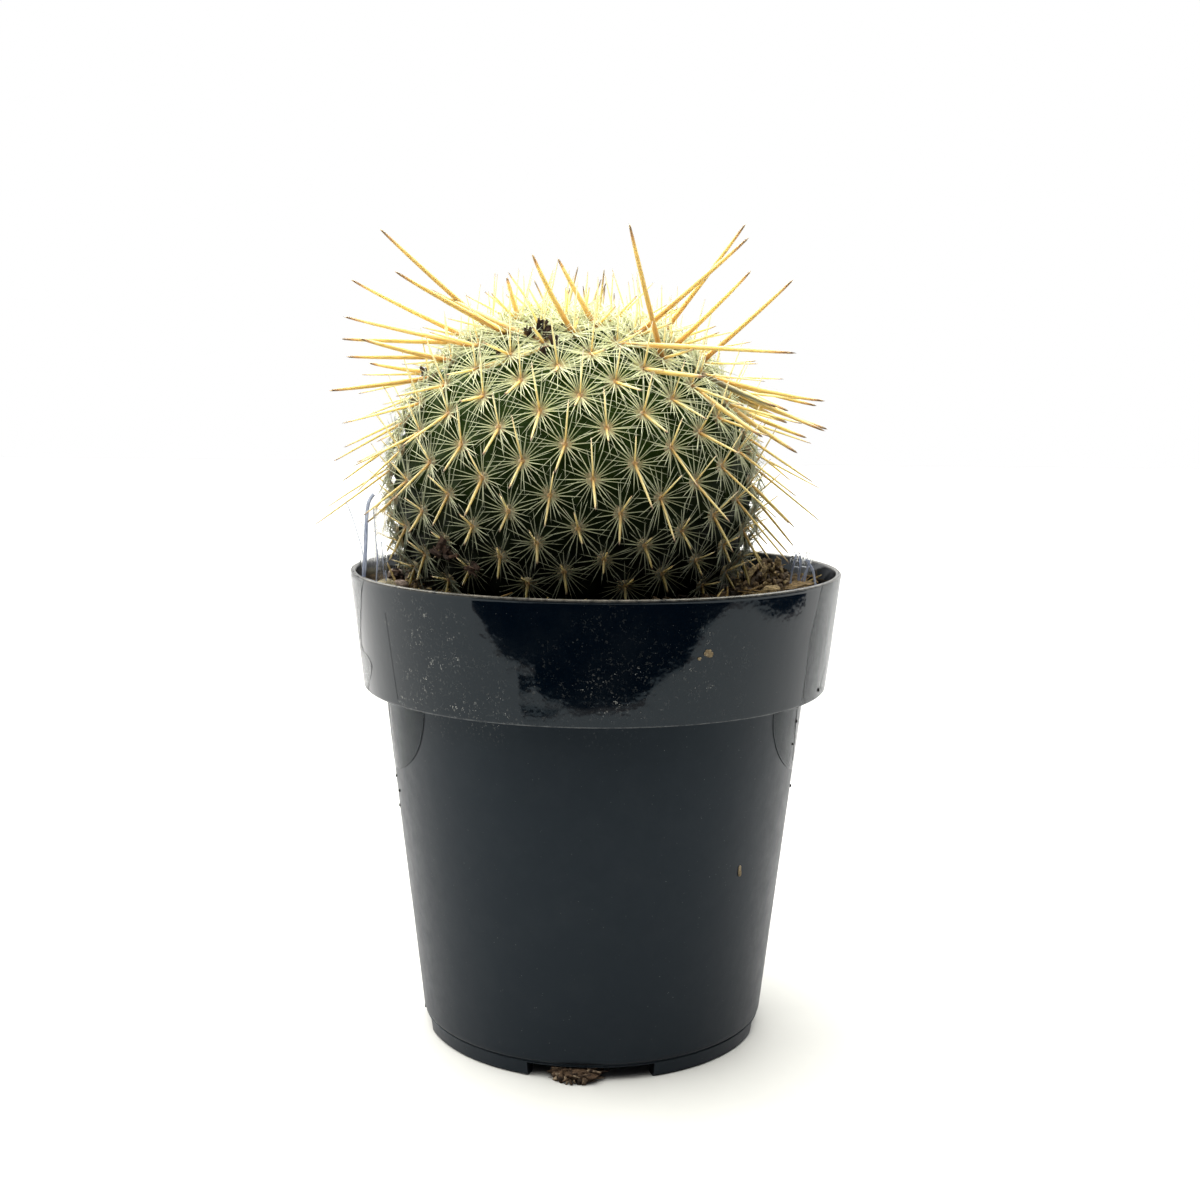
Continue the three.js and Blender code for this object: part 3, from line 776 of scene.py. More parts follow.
class Areole:
    """One spine cushion: its place on a tubercle's tip, its outward and upward directions and its size."""

    def __init__(self, number):
        self.number = number
        self.direction = areole_direction(number)
        self.place = on_stem(self.direction)
        self.out = (STEM_TURN @ self.direction).normalized()
        self.up = (Vector((0, 0, 1)) - self.out * self.out.z).normalized()
        self.across = self.out.cross(self.up)
        neighbour = on_stem(areole_direction(number + SPIRALS))
        self.size = min(1.0, (self.place - neighbour).length / TUBERCLE_PITCH)
        self.colatitude = math.degrees(math.acos(self.direction.z))
        self.youth = share_between(self.colatitude, *YOUNG_SPAN)

    def towards(self, turn, lift):
        """A direction from the areole: turn runs clockwise from up seen from outside, lift from the skin."""
        flat = self.up * math.cos(turn) - self.across * math.sin(turn)
        return flat * math.cos(lift) + self.out * math.sin(lift)


AREOLES = [Areole(number) for number in range(AREOLE_COUNT)]
SPINE_LOW = MIX_Z + 3.2
SPINED = [a for a in AREOLES if a.number >= AREOLES_ON_CROWN and a.place.z > SPINE_LOW]
CROWN = AREOLES[:AREOLES_ON_CROWN]

# ---- the stem ----

STEM_DETAIL = 7
SKIN_WAVES = (5.0, 0.10, 3.0)  # size, depth and seed
BURIED = 128  # degrees from the growing point, from where the stem narrows
BURIED_SHRINK = 0.12
ROOT_TOP = -28.6
ROOT_FACES_BELOW = -20
ROOT_RINGS = ((6, -30.5), (4.2, -37), (2.6, -48), (1.2, -62))
ROOT_NECK = 7.0


def cactus_stem(finish):
    """The round stem with its tubercles pressed in between the areoles, and its tapering root."""
    stem = primitive(bpy.ops.mesh.primitive_ico_sphere_add, subdivisions=STEM_DETAIL, radius=1)
    stem.name = "cactus_stem"
    directions = points_of(stem)
    directions /= np.linalg.norm(directions, axis=1)[:, None]
    tips = np.array([a.direction for a in AREOLES])
    sizes = np.array([a.size for a in AREOLES])
    share = np.zeros(len(directions))
    for tip, size in zip(tips, sizes):
        angle = np.arccos(np.clip(directions @ tip, -1, 1))
        away = angle * STEM_RADII.x / (TUBERCLE_REACH * TUBERCLE_PITCH * size)
        crest = np.clip(1 - away ** 2, 0, 1) ** TUBERCLE_CURVE
        share = np.maximum(share, crest * size + 1 - size)
    colatitude = np.degrees(np.arccos(np.clip(directions[:, 2], -1, 1)))
    dip = TUBERCLE_HEIGHT * (1 - share) + np.array([crown_drop(angle) for angle in colatitude])
    narrowing = 1 - BURIED_SHRINK * np.clip((colatitude - BURIED) / (180 - BURIED), 0, 1)
    points = directions * np.array(STEM_RADII) * narrowing[:, None] - directions * dip[:, None]
    move_points(stem, crumpled(points, *SKIN_WAVES))
    tip_share = stem.data.attributes.new("tip_share", "FLOAT", "POINT")
    tip_share.data.foreach_set("value", share.astype(np.float32))
    extrude_root(stem)
    stem.data.transform(Matrix.Translation(STEM_CENTRE) @ STEM_TURN.to_4x4())
    return finish_piece(stem, [finish], ["stem"])


def extrude_root(stem):
    """Draws the stem's underside down into the root, ring by ring."""
    bpy.context.tool_settings.mesh_select_mode = (False, False, True)
    start_edit()
    bpy.ops.mesh.select_all(action="DESELECT")
    end_edit()
    for face in stem.data.polygons:
        centre = face.center
        face.select = centre.z < ROOT_FACES_BELOW and math.hypot(centre.x, centre.y) < ROOT_NECK
    bpy.ops.object.mode_set(mode="EDIT")
    radius, height = ROOT_NECK, ROOT_TOP
    for next_radius, next_height in ROOT_RINGS:
        drop = {"value": (0, 0, next_height - height)}
        bpy.ops.mesh.extrude_region_move(TRANSFORM_OT_translate=drop)
        share = next_radius / radius
        bpy.ops.transform.resize(value=(share, share, share), center_override=(0, 0, next_height))
        radius, height = next_radius, next_height
    end_edit()
    bpy.context.tool_settings.mesh_select_mode = (True, False, False)


# ---- spines ----

NEEDLE = tapered_shape(3, ((0.35, 0.86), (0.72, 0.52)))
STOUT_NEEDLE = tapered_shape(7, (
    (0.06, 1.08), (0.25, 1.0), (0.5, 0.92), (0.75, 0.78), (0.9, 0.60), (0.97, 0.38)))
HAIR = tapered_shape(3, ((0.4, 0.8), (0.75, 0.5)))

RADIAL_COUNT = 26
RADIAL_LENGTH = 6.3
RADIAL_RADIUS = 0.11
CENTRAL_RADIUS = 0.235
UPPER_CENTRAL = 7.6
LOWER_CENTRAL = 9.6
LONG_RADIUS = 0.47
OLD_RADIALS = (80, 105)  # degrees from the growing point, between which spines get shorter
OLD_CENTRALS = (88, 102)
MIX_CLEARANCE = 1.5
PALE, AMBER = 0, 1  # the finishes in a row of spines, by their place in its materials

# The long spines that stand out round the crown: areole number, tip in the row frame, bow of the middle.
LONG_SPINES = (
    (74, (-38, -12, 146), 0.4), (82, (-34, -23, 138), 0.5), (79, (-45, 0, 138), 0.6),
    (87, (-45, -11, 127), 0.2), (100, (-45, -5, 124), 0.1), (108, (-41, -16, 127), 0.3),
    (121, (-47, -12, 118), 0.1), (113, (-42, 2, 123), 0.2), (77, (-11, -24, 141), 1.2),
    (61, (-16, -10, 138), 0.3), (93, (5, -26, 146), 0.8), (54, (26, -6, 148), 0.2),
    (72, (25, -24, 144), 0.3), (80, (26, -18, 139), 0.4), (88, (34, -11, 138), 0.3),
    (85, (33, -27, 125), -0.4), (59, (15, -12, 135), 0.2), (106, (18, -26, 121), 0.1),
    (101, (31, -17, 116), 0.3), (96, (40, -1, 116), 0.3), (109, (41, -9, 112), 0.3),
    (114, (28, -24, 111), 0.3), (117, (39, 4, 110), 0.3), (122, (35, -15, 108), 0.4),
    (96, (35, 0, 115), 0.3), (109, (34, -7, 113), 0.2), (101, (39, -20, 112), 0.3),
    (116, (-8, -23, 126), 0.4), (64, (-7, -15, 141), 0.3), (101, (40, -12, 117), 0.9),
    (90, (-30, -6, 136), 0.3), (95, (-45, -8, 131), 0.2),
)


def radial_spines(bundle, areole, chance):
    """The flat star of thin pale spines on one areole."""
    youth = areole.youth
    old = share_between(areole.colatitude, *OLD_RADIALS)
    length = RADIAL_LENGTH * (0.6 + 0.4 * areole.size) * (1 + 0.26 * youth - 0.14 * old)
    count = RADIAL_COUNT + chance.randint(-2, 2) + round(20 * youth - 3 * old)
    for i in range(count):
        turn = TURN * (i + chance.uniform(-0.32, 0.32)) / count
        lift = math.radians(chance.uniform(7, 25 + 5 * youth))
        direction = areole.towards(turn, lift)
        reach = length * chance.uniform(0.82, 1.12)
        base = areole.place + areole.out * 0.25 + direction * 0.35
        bow = -areole.out * reach * chance.uniform(0.0, 0.06) + areole.across * chance.uniform(-0.08, 0.08)
        thick = RADIAL_RADIUS * chance.uniform(0.75, 1.2) * (1 + 0.40 * youth)
        bundle.add_line(NEEDLE, base, direction, reach, thick, bow, chance.random(), PALE)


def central_spines(bundle, areole, chance):
    """One thin spine upwards and one stouter spine downwards, in amber."""
    base = areole.place + areole.out * 0.3
    young = max(0.0, 1 - areole.size)
    old = share_between(areole.colatitude, *OLD_CENTRALS)
    flank = max(0.0, abs(areole.out.x) - 0.5) * (1 - 0.5 * old)
    upper = UPPER_CENTRAL * (1 - 0.4 * old + 0.30 * areole.youth)
    lower = LOWER_CENTRAL * (1 - 0.58 * old) * (1 + 1.3 * flank)
    for turn, lift, length, share in (
            (0.0, 48 + 12 * areole.youth, upper, 0.66), (math.pi, 42 + 25 * young, lower, 1.0)):
        turn += math.radians(chance.uniform(-16, 16))
        direction = areole.towards(turn, math.radians(lift + chance.uniform(-8, 8)))
        reach = length * chance.uniform(0.78, 1.15)
        if base.z + direction.z * reach < MIX_Z + MIX_CLEARANCE:
            reach = max(3.0, (base.z - MIX_Z - MIX_CLEARANCE) / max(0.05, -direction.z))
        bow = areole.up * chance.uniform(-0.4, 0.5) - areole.out * chance.uniform(0, 0.5)
        thick = CENTRAL_RADIUS * share * chance.uniform(0.85, 1.15)
        bundle.add_line(STOUT_NEEDLE, base, direction, reach, thick, bow, chance.random(), AMBER)


def long_spine(bundle, areole, tip, bow, chance):
    """A long spine from an areole to a tip, bowed upwards in its middle."""
    base = areole.place + areole.out * 0.3
    line = Vector(tip) - base
    ahead = line.normalized()
    rise = (Vector((0, 0, 1)) - ahead * ahead.z) * bow * 2
    line -= rise
    bundle.add_line(STOUT_NEEDLE, base, line, line.length, LONG_RADIUS, rise, chance.random(), AMBER)


def spine_rows(radial, central):
    """The spines, in one piece for each of the stem's growth spirals."""
    for row in range(SPIRALS):
        bundle = Bundle()
        for areole in SPINED:
            if areole.number % SPIRALS != row:
                continue
            chance = random.Random(1000 + areole.number)
            radial_spines(bundle, areole, chance)
            central_spines(bundle, areole, chance)
            for number, tip, bow in LONG_SPINES:
                if number == areole.number:
                    long_spine(bundle, areole, tip, bow, chance)
        piece = bundle.make(f"spiral_{row + 1:02d}_spines")
        finish_piece(piece, [radial, central], [f"spine_row_{row + 1:02d}"])


# ---- wool ----

def pad_shape():
    """A small felt cushion: a ball squashed flat and knocked uneven."""
    ball = lumpy_ball(2, (0.8, 0.16, 7.0))
    points = points_of(ball)
    points[:, 2] = 0.5 + 0.5 * points[:, 2]
    move_points(ball, points)
    return Shape(ball)


PAD = pad_shape()
PAD_WIDTH = 1.15
PAD_HEIGHT = 0.85
PAD_SHADE = 0.85
HEART_HEIGHT = 0.36
HEART_SHARE = 0.42  # of the pad's width, for the brown heart where the central spines grow
WOOL_HAIRS = 80


def areole_wool(pad_finish):
    """A felted cushion with a brown heart and short hairs on each areole."""
    bundle = Bundle()
    for areole in SPINED:
        chance = random.Random(5000 + areole.number)
        out = areole.out
        width = PAD_WIDTH * (0.75 + 0.25 * areole.size)
        bundle.add_line(PAD, areole.place - out * 0.3, out, PAD_HEIGHT, width, STRAIGHT, PAD_SHADE)
        heart = areole.place + out * 0.32
        bundle.add_line(PAD, heart, out, HEART_HEIGHT, HEART_SHARE * width, STRAIGHT, 0.0)
        for _ in range(WOOL_HAIRS + round(20 * areole.youth)):
            turn = chance.uniform(0, TURN)
            direction = areole.towards(turn, math.radians(chance.uniform(15, 65)))
            share = chance.uniform(0.2, 1.0)
            base = areole.place + areole.towards(turn, 0) * share * width
            bow = areole.towards(turn + chance.uniform(-2, 2), 0) * 0.4
            reach = chance.uniform(0.5, 1.2) * (1 + 0.9 * areole.youth)
            shade = min(1.0, share + chance.uniform(-0.1, 0.3))
            bundle.add_line(HAIR, base, direction, reach, 0.05, bow, shade)
    finish_piece(bundle.make("areole_wool"), [pad_finish])


CROWN_PAD_WIDTH = 2.0
CROWN_STAR = 22  # radial spines of each young areole
CROWN_HAIRS = 60
STAR, YOUNG = 1, 2  # the crown's finishes after wool, by their place in its materials


def crown(wool, radial, young):
    """The woolly growing point: felt, fine hairs, the youngest radial stars and erect yellow needles."""
    bundle = Bundle()
    chance = random.Random(77)
    for areole in CROWN:
        place, out = areole.place, areole.out
        width = CROWN_PAD_WIDTH * (0.5 + 0.5 * areole.size)
        bundle.add_line(PAD, place - out * 1.2, out, 1.1, width, STRAIGHT, 0.7)
        for i in range(CROWN_STAR):
            turn = TURN * (i + chance.uniform(-0.3, 0.3)) / CROWN_STAR
            direction = areole.towards(turn, math.radians(chance.uniform(3, 22)))
            reach = chance.uniform(2.8, 4.6)
            bundle.add_line(NEEDLE, place - out * 0.1, direction, reach, RADIAL_RADIUS, out * -0.3,
                            chance.random(), STAR)
        for _ in range(chance.choice((1, 1, 2))):
            direction = areole.towards(chance.uniform(0, TURN), math.radians(chance.uniform(62, 88)))
            base = place + areole.towards(chance.uniform(0, TURN), 0) * 0.6
            reach = 2.5 + 8.5 * chance.random() ** 2
            bow = areole.across * chance.uniform(-0.6, 0.6)
            thick = 0.15 + 0.008 * reach
            bundle.add_line(STOUT_NEEDLE, base, direction, reach, thick, bow, chance.random(), YOUNG)
        for _ in range(CROWN_HAIRS):
            turn = chance.uniform(0, TURN)
            direction = areole.towards(turn, math.radians(chance.uniform(5, 55)))
            base = place + areole.towards(turn, 0) * chance.uniform(0, 1.4) - out * 0.4
            bow = areole.towards(turn + chance.uniform(-1.5, 1.5), 0)
            reach = chance.uniform(0.9, 2.0)
            bundle.add_line(HAIR, base, direction, reach, 0.036, bow, chance.uniform(0.6, 1.0))
    finish_piece(bundle.make("crown_wool"), [wool, radial, young], ["crown_tuft"])


# ---- the potting mix ----

def mix_height(x, y):
    return MIX_Z + MIX_CROWN * (1 - (x * x + y * y) / RIM_RADIUS ** 2)


MIX_SIDES = 180
MIX_RINGS = 28
MIX_UNDERSIDE = ((41.2, 66.5), (37.4, 66.0), (30.6, 4.4))  # radius and height, down inside the wall


def potting_mix(finish):
    """The bark mix that fills the pot: rings extruded inwards from the wall, then broken up by noise."""
    soil = primitive(bpy.ops.mesh.primitive_circle_add, vertices=MIX_SIDES, radius=MIX_EDGE,
                     location=(0, 0, MIX_Z))
    soil.name = "potting_bark_mix"
    bpy.ops.object.transform_apply(location=True)
    start_edit()
    radius = MIX_EDGE
    for next_radius in np.linspace(MIX_EDGE - 0.8, 20, MIX_RINGS):
        bpy.ops.mesh.extrude_region_move()
        share = next_radius / radius
        bpy.ops.transform.resize(value=(share, share, 1), center_override=(0, 0, MIX_Z))
        radius = next_radius
    bpy.ops.mesh.merge(type="CENTER")
    end_edit()
    points = points_of(soil)
    for i, (x, y, _) in enumerate(points):
        spot = Vector((x, y, 0))
        lumps = 0.9 * noise.noise(spot / 3.1) + 0.5 * noise.noise(spot / 1.3)
        inward = max(0.0, 1 - math.hypot(x, y) / MIX_EDGE)
        points[i, 2] = mix_height(x, y) - 0.3 + lumps * min(1.0, 0.5 + 6 * inward)
    move_points(soil, points)
    close_underside()
    return finish_piece(soil, [finish], ["potting_mix"])


def close_underside():
    """Extrudes the active object's rim down inside the pot wall and closes it over the base."""
    start_edit()
    bpy.ops.mesh.select_all(action="DESELECT")
    bpy.ops.mesh.select_non_manifold()
    last = MIX_EDGE
    for radius, height in MIX_UNDERSIDE:
        share = radius / last
        bpy.ops.mesh.extrude_region_move()
        bpy.ops.transform.resize(value=(share, share, 0), center_override=(0, 0, height))
        last = radius
    bpy.ops.mesh.edge_face_add()
    face_outwards()
    end_edit()


CRUMBS = [crumb_shape(seed) for seed in (1.0, 4.0, 9.0)]
MIX_REACH = 42.3
STEM_REACH = 27.5  # nothing lies nearer to the stem's middle
LOOSE_CRUMBS = 620
MOSS_FIBRES = 330


def add_crumb(bundle, chance, place, sizes, turn, palest=1.0, darkness=1.0):
    """Adds a random crumb. The higher its darkness, the likelier it is dark."""
    shape = chance.choice(CRUMBS)
    bundle.add(shape, set_down(shape, place, sizes, turn), palest * chance.random() ** darkness)


def loose_mix(crumb, fibre):
    """Crumbs, slivers and moss fibres lying on the mix."""
    chance = random.Random(11)
    bits, fibres = Bundle(), Bundle()
    for _ in range(LOOSE_CRUMBS):
        azimuth, reach = chance.uniform(0, 360), math.sqrt(chance.uniform(25 ** 2, MIX_REACH ** 2))
        spot = level(azimuth) * reach
        if (spot - Vector((STEM_CENTRE.x, STEM_CENTRE.y, 0))).length < STEM_REACH:
            continue
        size = chance.uniform(0.5, 1.5)
        sizes = (size * chance.uniform(0.8, 2.0), size, size * chance.uniform(0.45, 0.9))
        turn = Euler(one_of_each(chance, (-0.5, 0.5), (-0.5, 0.5), (0, TURN)))
        spot.z = mix_height(spot.x, spot.y) + chance.uniform(-0.1, 0.7)
        add_crumb(bits, chance, spot, sizes, turn, darkness=2)
    for _ in range(MOSS_FIBRES):
        base = level(chance.uniform(0, 360)) * chance.uniform(29, MIX_REACH)
        inwards = -base
        base.z = mix_height(base.x, base.y) + chance.uniform(0.1, 1.6)
        direction = Vector(one_of_each(chance, (-1, 1), (-1, 1), (-0.05, 0.4)))
        reach = chance.uniform(2, 5.5)
        end = base + direction.normalized() * reach
        if math.hypot(end.x, end.y) > MIX_REACH + 0.3:
            direction.x, direction.y = inwards.x, inwards.y
        bow = Vector(one_of_each(chance, (-1, 1), (-1, 1), (-0.8, 0.2)))
        thick = chance.uniform(0.08, 0.24)
        fibres.add_line(STOUT_NEEDLE, base, direction, reach, thick, bow, chance.random())
    finish_piece(bits.make("loose_crumbs"), [crumb], smooth_below=50)
    finish_piece(fibres.make("moss_fibres"), [fibre])


HEAP_AT = Vector((31.5, -3.5, 0))
HEAP_REACH = 6.5
HEAP_RISE = 5.0
HEAP_CRUMBS = 230
# The bigger lumps on the mix: place, half sizes, finish (0 tan bark, 1 pinkish grit).
LUMPS = (((31.0, -14.5, 83.7), (1.8, 1.2, 1.0), 0), ((-36.4, -5.0, 84.6), (1.5, 1.2, 1.4), 1),
         ((-34.4, -14.5, 84.0), (1.5, 1.2, 1.1), 1))


def heap_of_mix(crumb, grit):
    """The curled bits of bark heaped up against the plant's right side, and a few bigger lumps."""
    chance = random.Random(23)
    bundle = Bundle()
    for _ in range(HEAP_CRUMBS):
        turn, share = chance.uniform(0, TURN), math.sqrt(chance.random())
        spot = HEAP_AT + Vector((math.cos(turn), math.sin(turn), 0)) * share * HEAP_REACH
        rise = chance.uniform(0.3, 1.0) * HEAP_RISE * (1 - share ** 1.5)
        spot.z = mix_height(spot.x, spot.y) + rise + 0.2
        size = chance.uniform(0.7, 1.9)
        sizes = (size * chance.uniform(0.9, 1.7), size * 0.5, size * chance.uniform(0.25, 0.5))
        tilt = Euler(one_of_each(chance, *[(0, TURN)] * 3))
        add_crumb(bundle, chance, spot, sizes, tilt, darkness=0.9)
    lump = Shape(lumpy_ball(4, (0.8, 0.22, 6.0), (0.3, 0.07, 2.0)))
    for place, half, finish in LUMPS:
        tilt = Euler((0.2, -0.2, chance.uniform(-0.4, 0.4)))
        bundle.add(lump, set_down(lump, place, half, tilt), chance.uniform(0.6, 0.9), finish)
    finish_piece(bundle.make("heaped_bark"), [crumb, grit], smooth_below=60)


# Chips and stones on the mix: CAD node, half sizes and turn in degrees. CAD holds their places.
CHIPS = (
    ("bark_chip_01", (3.0, 1.7, 1.1), 20), ("bark_chip_02", (2.6, 1.2, 1.0), 75),
    ("bark_chip_03", (2.4, 1.5, 0.9), -40), ("bark_chip_04", (3.0, 1.4, 1.1), 30),
    ("bark_chip_05", (2.6, 1.6, 1.0), 10), ("bark_chip_06", (2.2, 1.3, 0.9), 60),
    ("grit_stone_01", (2.0, 1.6, 1.3), 15), ("grit_stone_02", (1.6, 1.3, 1.0), 40),
    ("grit_stone_03", (1.8, 1.4, 1.1), -20),
)


def bark_chip(half):
    """A flaked chip: a block cut up, its corners pulled in and its faces split by the grain."""
    chip = primitive(bpy.ops.mesh.primitive_cube_add, size=2)
    start_edit()
    bpy.ops.mesh.subdivide(number_cuts=7, smoothness=0.35)
    end_edit()
    points = points_of(chip)
    for i, (x, y, z) in enumerate(points):
        split = noise.noise(Vector((x * 0.8, y * 3.2, z * 3.0)))
        knock = noise.noise_vector(Vector((x, y, z)) * 1.6 + Vector((half[0], 0, 0)))
        taper = 1 - 0.35 * abs(x)
        points[i] = (x + 0.25 * knock.x, y * taper + 0.22 * knock.y + 0.10 * split, z * taper + 0.3 * knock.z)
    rough = crumpled(points * np.array(half) * 0.80, 0.8, 0.34, half[1])
    move_points(chip, crumpled(rough, 0.3, 0.14, half[2]))
    return chip


def grit_stone(half):
    stone = lumpy_ball(5, (0.9, 0.16, half[0]), (0.25, 0.03, half[1]))
    move_points(stone, points_of(stone) * np.array(half) * 0.95)
    return stone


def chips_and_stones(bark, grit):
    for node_name, half, turn in CHIPS:
        woody = node_name.startswith("bark")
        piece = bark_chip(half) if woody else grit_stone(half)
        piece.name = node_name.replace("_chip", "_flake").replace("grit_stone", "pebble")
        lowest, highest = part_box(node_name)
        centre = (lowest + highest) / 2 / MM
        tilt = Euler((0.12, -0.15, math.radians(turn)))
        piece.data.transform(Matrix.Translation(centre) @ tilt.to_matrix().to_4x4())
        finish_piece(piece, [bark if woody else grit], [node_name],
                     smooth_below=35 if woody else None)


# Crumbs of mix caught among the spines: azimuth and colatitude on the stem, height off the skin, size.
CAUGHT = (
    (-18, 40, 2.2, 2.0), (-24, 42, 1.8, 1.3), (-12, 45, 1.6, 1.3), (-15, 49, 1.4, 1.0),
    (-33, 50, 1.4, 0.9), (-75, 57, 1.6, 1.2), (-40, 110, 2.2, 2.0), (-37, 112, 1.8, 1.7),
    (-29, 116, 1.8, 1.5), (-81, 121, 2.5, 2.0), (150, 60, 1.8, 1.8), (110, 105, 2.0, 2.2),
)


def caught_crumbs(finish):
    chance = random.Random(31)
    bundle = Bundle()
    for azimuth, colatitude, rise, size in CAUGHT:
        slope = math.radians(colatitude)
        direction = level(azimuth) * math.sin(slope) + Vector((0, 0, math.cos(slope)))
        heart = on_stem(direction) + STEM_TURN @ direction * rise
        for _ in range(9):
            place = heart + Vector(one_of_each(chance, *[(-0.5, 0.5)] * 3)) * size
            sizes = [size * share for share in one_of_each(chance, (0.5, 0.95), (0.2, 0.5), (0.1, 0.3))]
            turn = Euler(one_of_each(chance, *[(0, TURN)] * 3))
            add_crumb(bundle, chance, place, sizes, turn, palest=0.6)
    finish_piece(bundle.make("caught_crumbs"), [finish], smooth_below=50)


# Bits stuck to the pot's outside: azimuth, height, half width, half height, finish (0 tan, 1 dark).
STUCK = (
    (24.6, 76.9, 0.65, 0.5, 0), (22.6, 76.1, 0.25, 0.25, 0), (45.7, 35.8, 0.35, 0.9, 0),
    (67.6, 66.4, 0.22, 0.3, 1), (71.2, 59.9, 0.25, 0.3, 1), (70.1, 55.8, 0.2, 0.22, 1),
    (79.2, 46.6, 0.2, 0.25, 1), (-77.4, 48.1, 0.2, 0.2, 1), (-74, 45.8, 0.22, 0.22, 1),
    (-80, 42.0, 0.2, 0.25, 1), (-88, 1.6, 0.5, 0.8, 1),
)


def stuck_bits(tan, dark):
    chance = random.Random(41)
    bundle = Bundle()
    for azimuth, height, wide, tall, finish in STUCK:
        radius = collar_radius(height) if height > COLLAR_Z else body_radius(height)
        outward = level(azimuth)
        across = level(azimuth + 90)
        for _ in range(5):
            place = outward * (radius + 0.08) + across * chance.uniform(-0.6, 0.6) * wide
            place.z = height + chance.uniform(-0.6, 0.6) * tall
            shape = chance.choice(CRUMBS)
            turn = Euler((0, 0, math.radians(azimuth)))
            sizes = (wide * chance.uniform(0.7, 1.4), 0.22, tall * chance.uniform(0.7, 1.4))
            bundle.add(shape, set_down(shape, place, sizes, turn), chance.random(), finish)
    finish_piece(bundle.make("stuck_bits"), [tan, dark], smooth_below=50)


# ---- root tuft ----

TUFT_AT = Vector((-2.4, -29.0, 1.45))
TUFT_HALF = (4.0, 4.0, 1.0)
TUFT_CRUMBS = 110
ROOTLETS = 60
GROUND = 0.02  # nothing of the tuft goes lower


def root_tuft(finish):
    """The knot of old roots that has grown out of the front drain hole: a rough lump with rootlets."""
    lump = Shape(lumpy_ball(5, (0.7, 0.28, 2.0), (0.2, 0.10, 5.0)))
    bundle = Bundle()
    bundle.add(lump, set_down(lump, TUFT_AT, TUFT_HALF, Euler((0, 0, 0.1))), 0.4)
    neck = TUFT_AT + Vector((1.8, 3.6, -0.6))
    bundle.add_line(STOUT_NEEDLE, neck, Vector((0.1, 0.2, 1)), 6.0, 2.2, STRAIGHT, 0.3)
    chance = random.Random(5)
    for _ in range(TUFT_CRUMBS):
        turn = chance.uniform(-80, 80)
        heart = Vector((TUFT_AT.x, TUFT_AT.y, 0)) + level(turn) * chance.uniform(2.2, 4.4)
        heart.z = chance.uniform(0.35, 2.3) * (1.25 - 0.16 * (TUFT_AT.y - heart.y))
        size = chance.uniform(0.5, 1.3)
        tilt = Euler(one_of_each(chance, (-0.9, 0.9), (-0.9, 0.9), (0, TURN)))
        shape = chance.choice(CRUMBS)
        points = set_down(shape, heart, (size * 0.5, size * 0.5, size), tilt)
        points[:, 2] = np.maximum(points[:, 2], GROUND)
        bundle.add(shape, points, chance.random() ** 1.5)
    for _ in range(ROOTLETS):
        outward = level(chance.uniform(-95, 95))
        reach_out = Vector((outward.x * TUFT_HALF[0], outward.y * TUFT_HALF[1], 0))
        base = TUFT_AT + reach_out * chance.uniform(0.3, 0.95)
        base.z = chance.uniform(0.3, 2.3)
        direction = outward + Vector(one_of_each(chance, (-0.9, 0.9), (-0.9, 0.9), (-0.3, 0.3)))
        reach = chance.uniform(1.0, 3.2)
        radius = chance.uniform(0.08, 0.22)
        if base.z + direction.normalized().z * reach < radius:
            direction.z = 0
        direction.y = max(direction.y, -0.3)
        points = along_line(STOUT_NEEDLE, base, direction, reach, radius)
        points[:, 2] = np.maximum(points[:, 2], GROUND)
        bundle.add(STOUT_NEEDLE, points, chance.random())
    finish_piece(bundle.make("old_root_tuft"), [finish], ["root_tuft"])


# ---- film strips ----

FILM_GAP = 0.03
FILM_THIN = 0.03
COLLAR_LINE = 0.020  # radius of the fine lines on the collar
BODY_LINE = 0.042
SHEET_STEPS = (64, 130)
FLAP_STEPS = (60, 20)

# Each strip: CAD node, azimuth of its middle and height of its end.
STRIPS = (("film_strip_left", -90, 24), ("film_strip_right", 96, 16))

# Fine dark lines of painted shade where the clinging film ends or creases: (azimuth, height) points down the
# pot.
FILM_LINES = {
    "left": (
        ((-62, 86.2), (-65, 84), (-68, 80), (-72, 75), (-73, 72.5), (-66, 71.8), (-64, 70.5),
         (-66, 68.5), (-71, 66)),
        ((-53, 81), (-52.5, 76), (-52, 70), (-51.5, 66)),
        ((-48.5, 64.3), (-49, 62), (-50.5, 59.5), (-52.5, 57), (-56.5, 54.3), (-62.5, 52),
         (-72, 50), (-82, 52)),
        ((-75, 62), (-77, 55), (-79, 51)),
    ),
    "right": (
        ((60, 86.2), (58.5, 80), (57, 76.5), (57.5, 73), (57, 68), (58, 65.6)),
        ((71, 66), (68, 67.5), (72, 70)),
        ((53, 64.3), (53.5, 61), (55, 58.7), (57.3, 56.4), (61.3, 54), (67, 51.8), (80, 49.3)),
        ((70, 63), (71, 58), (75, 52)),
    ),
}

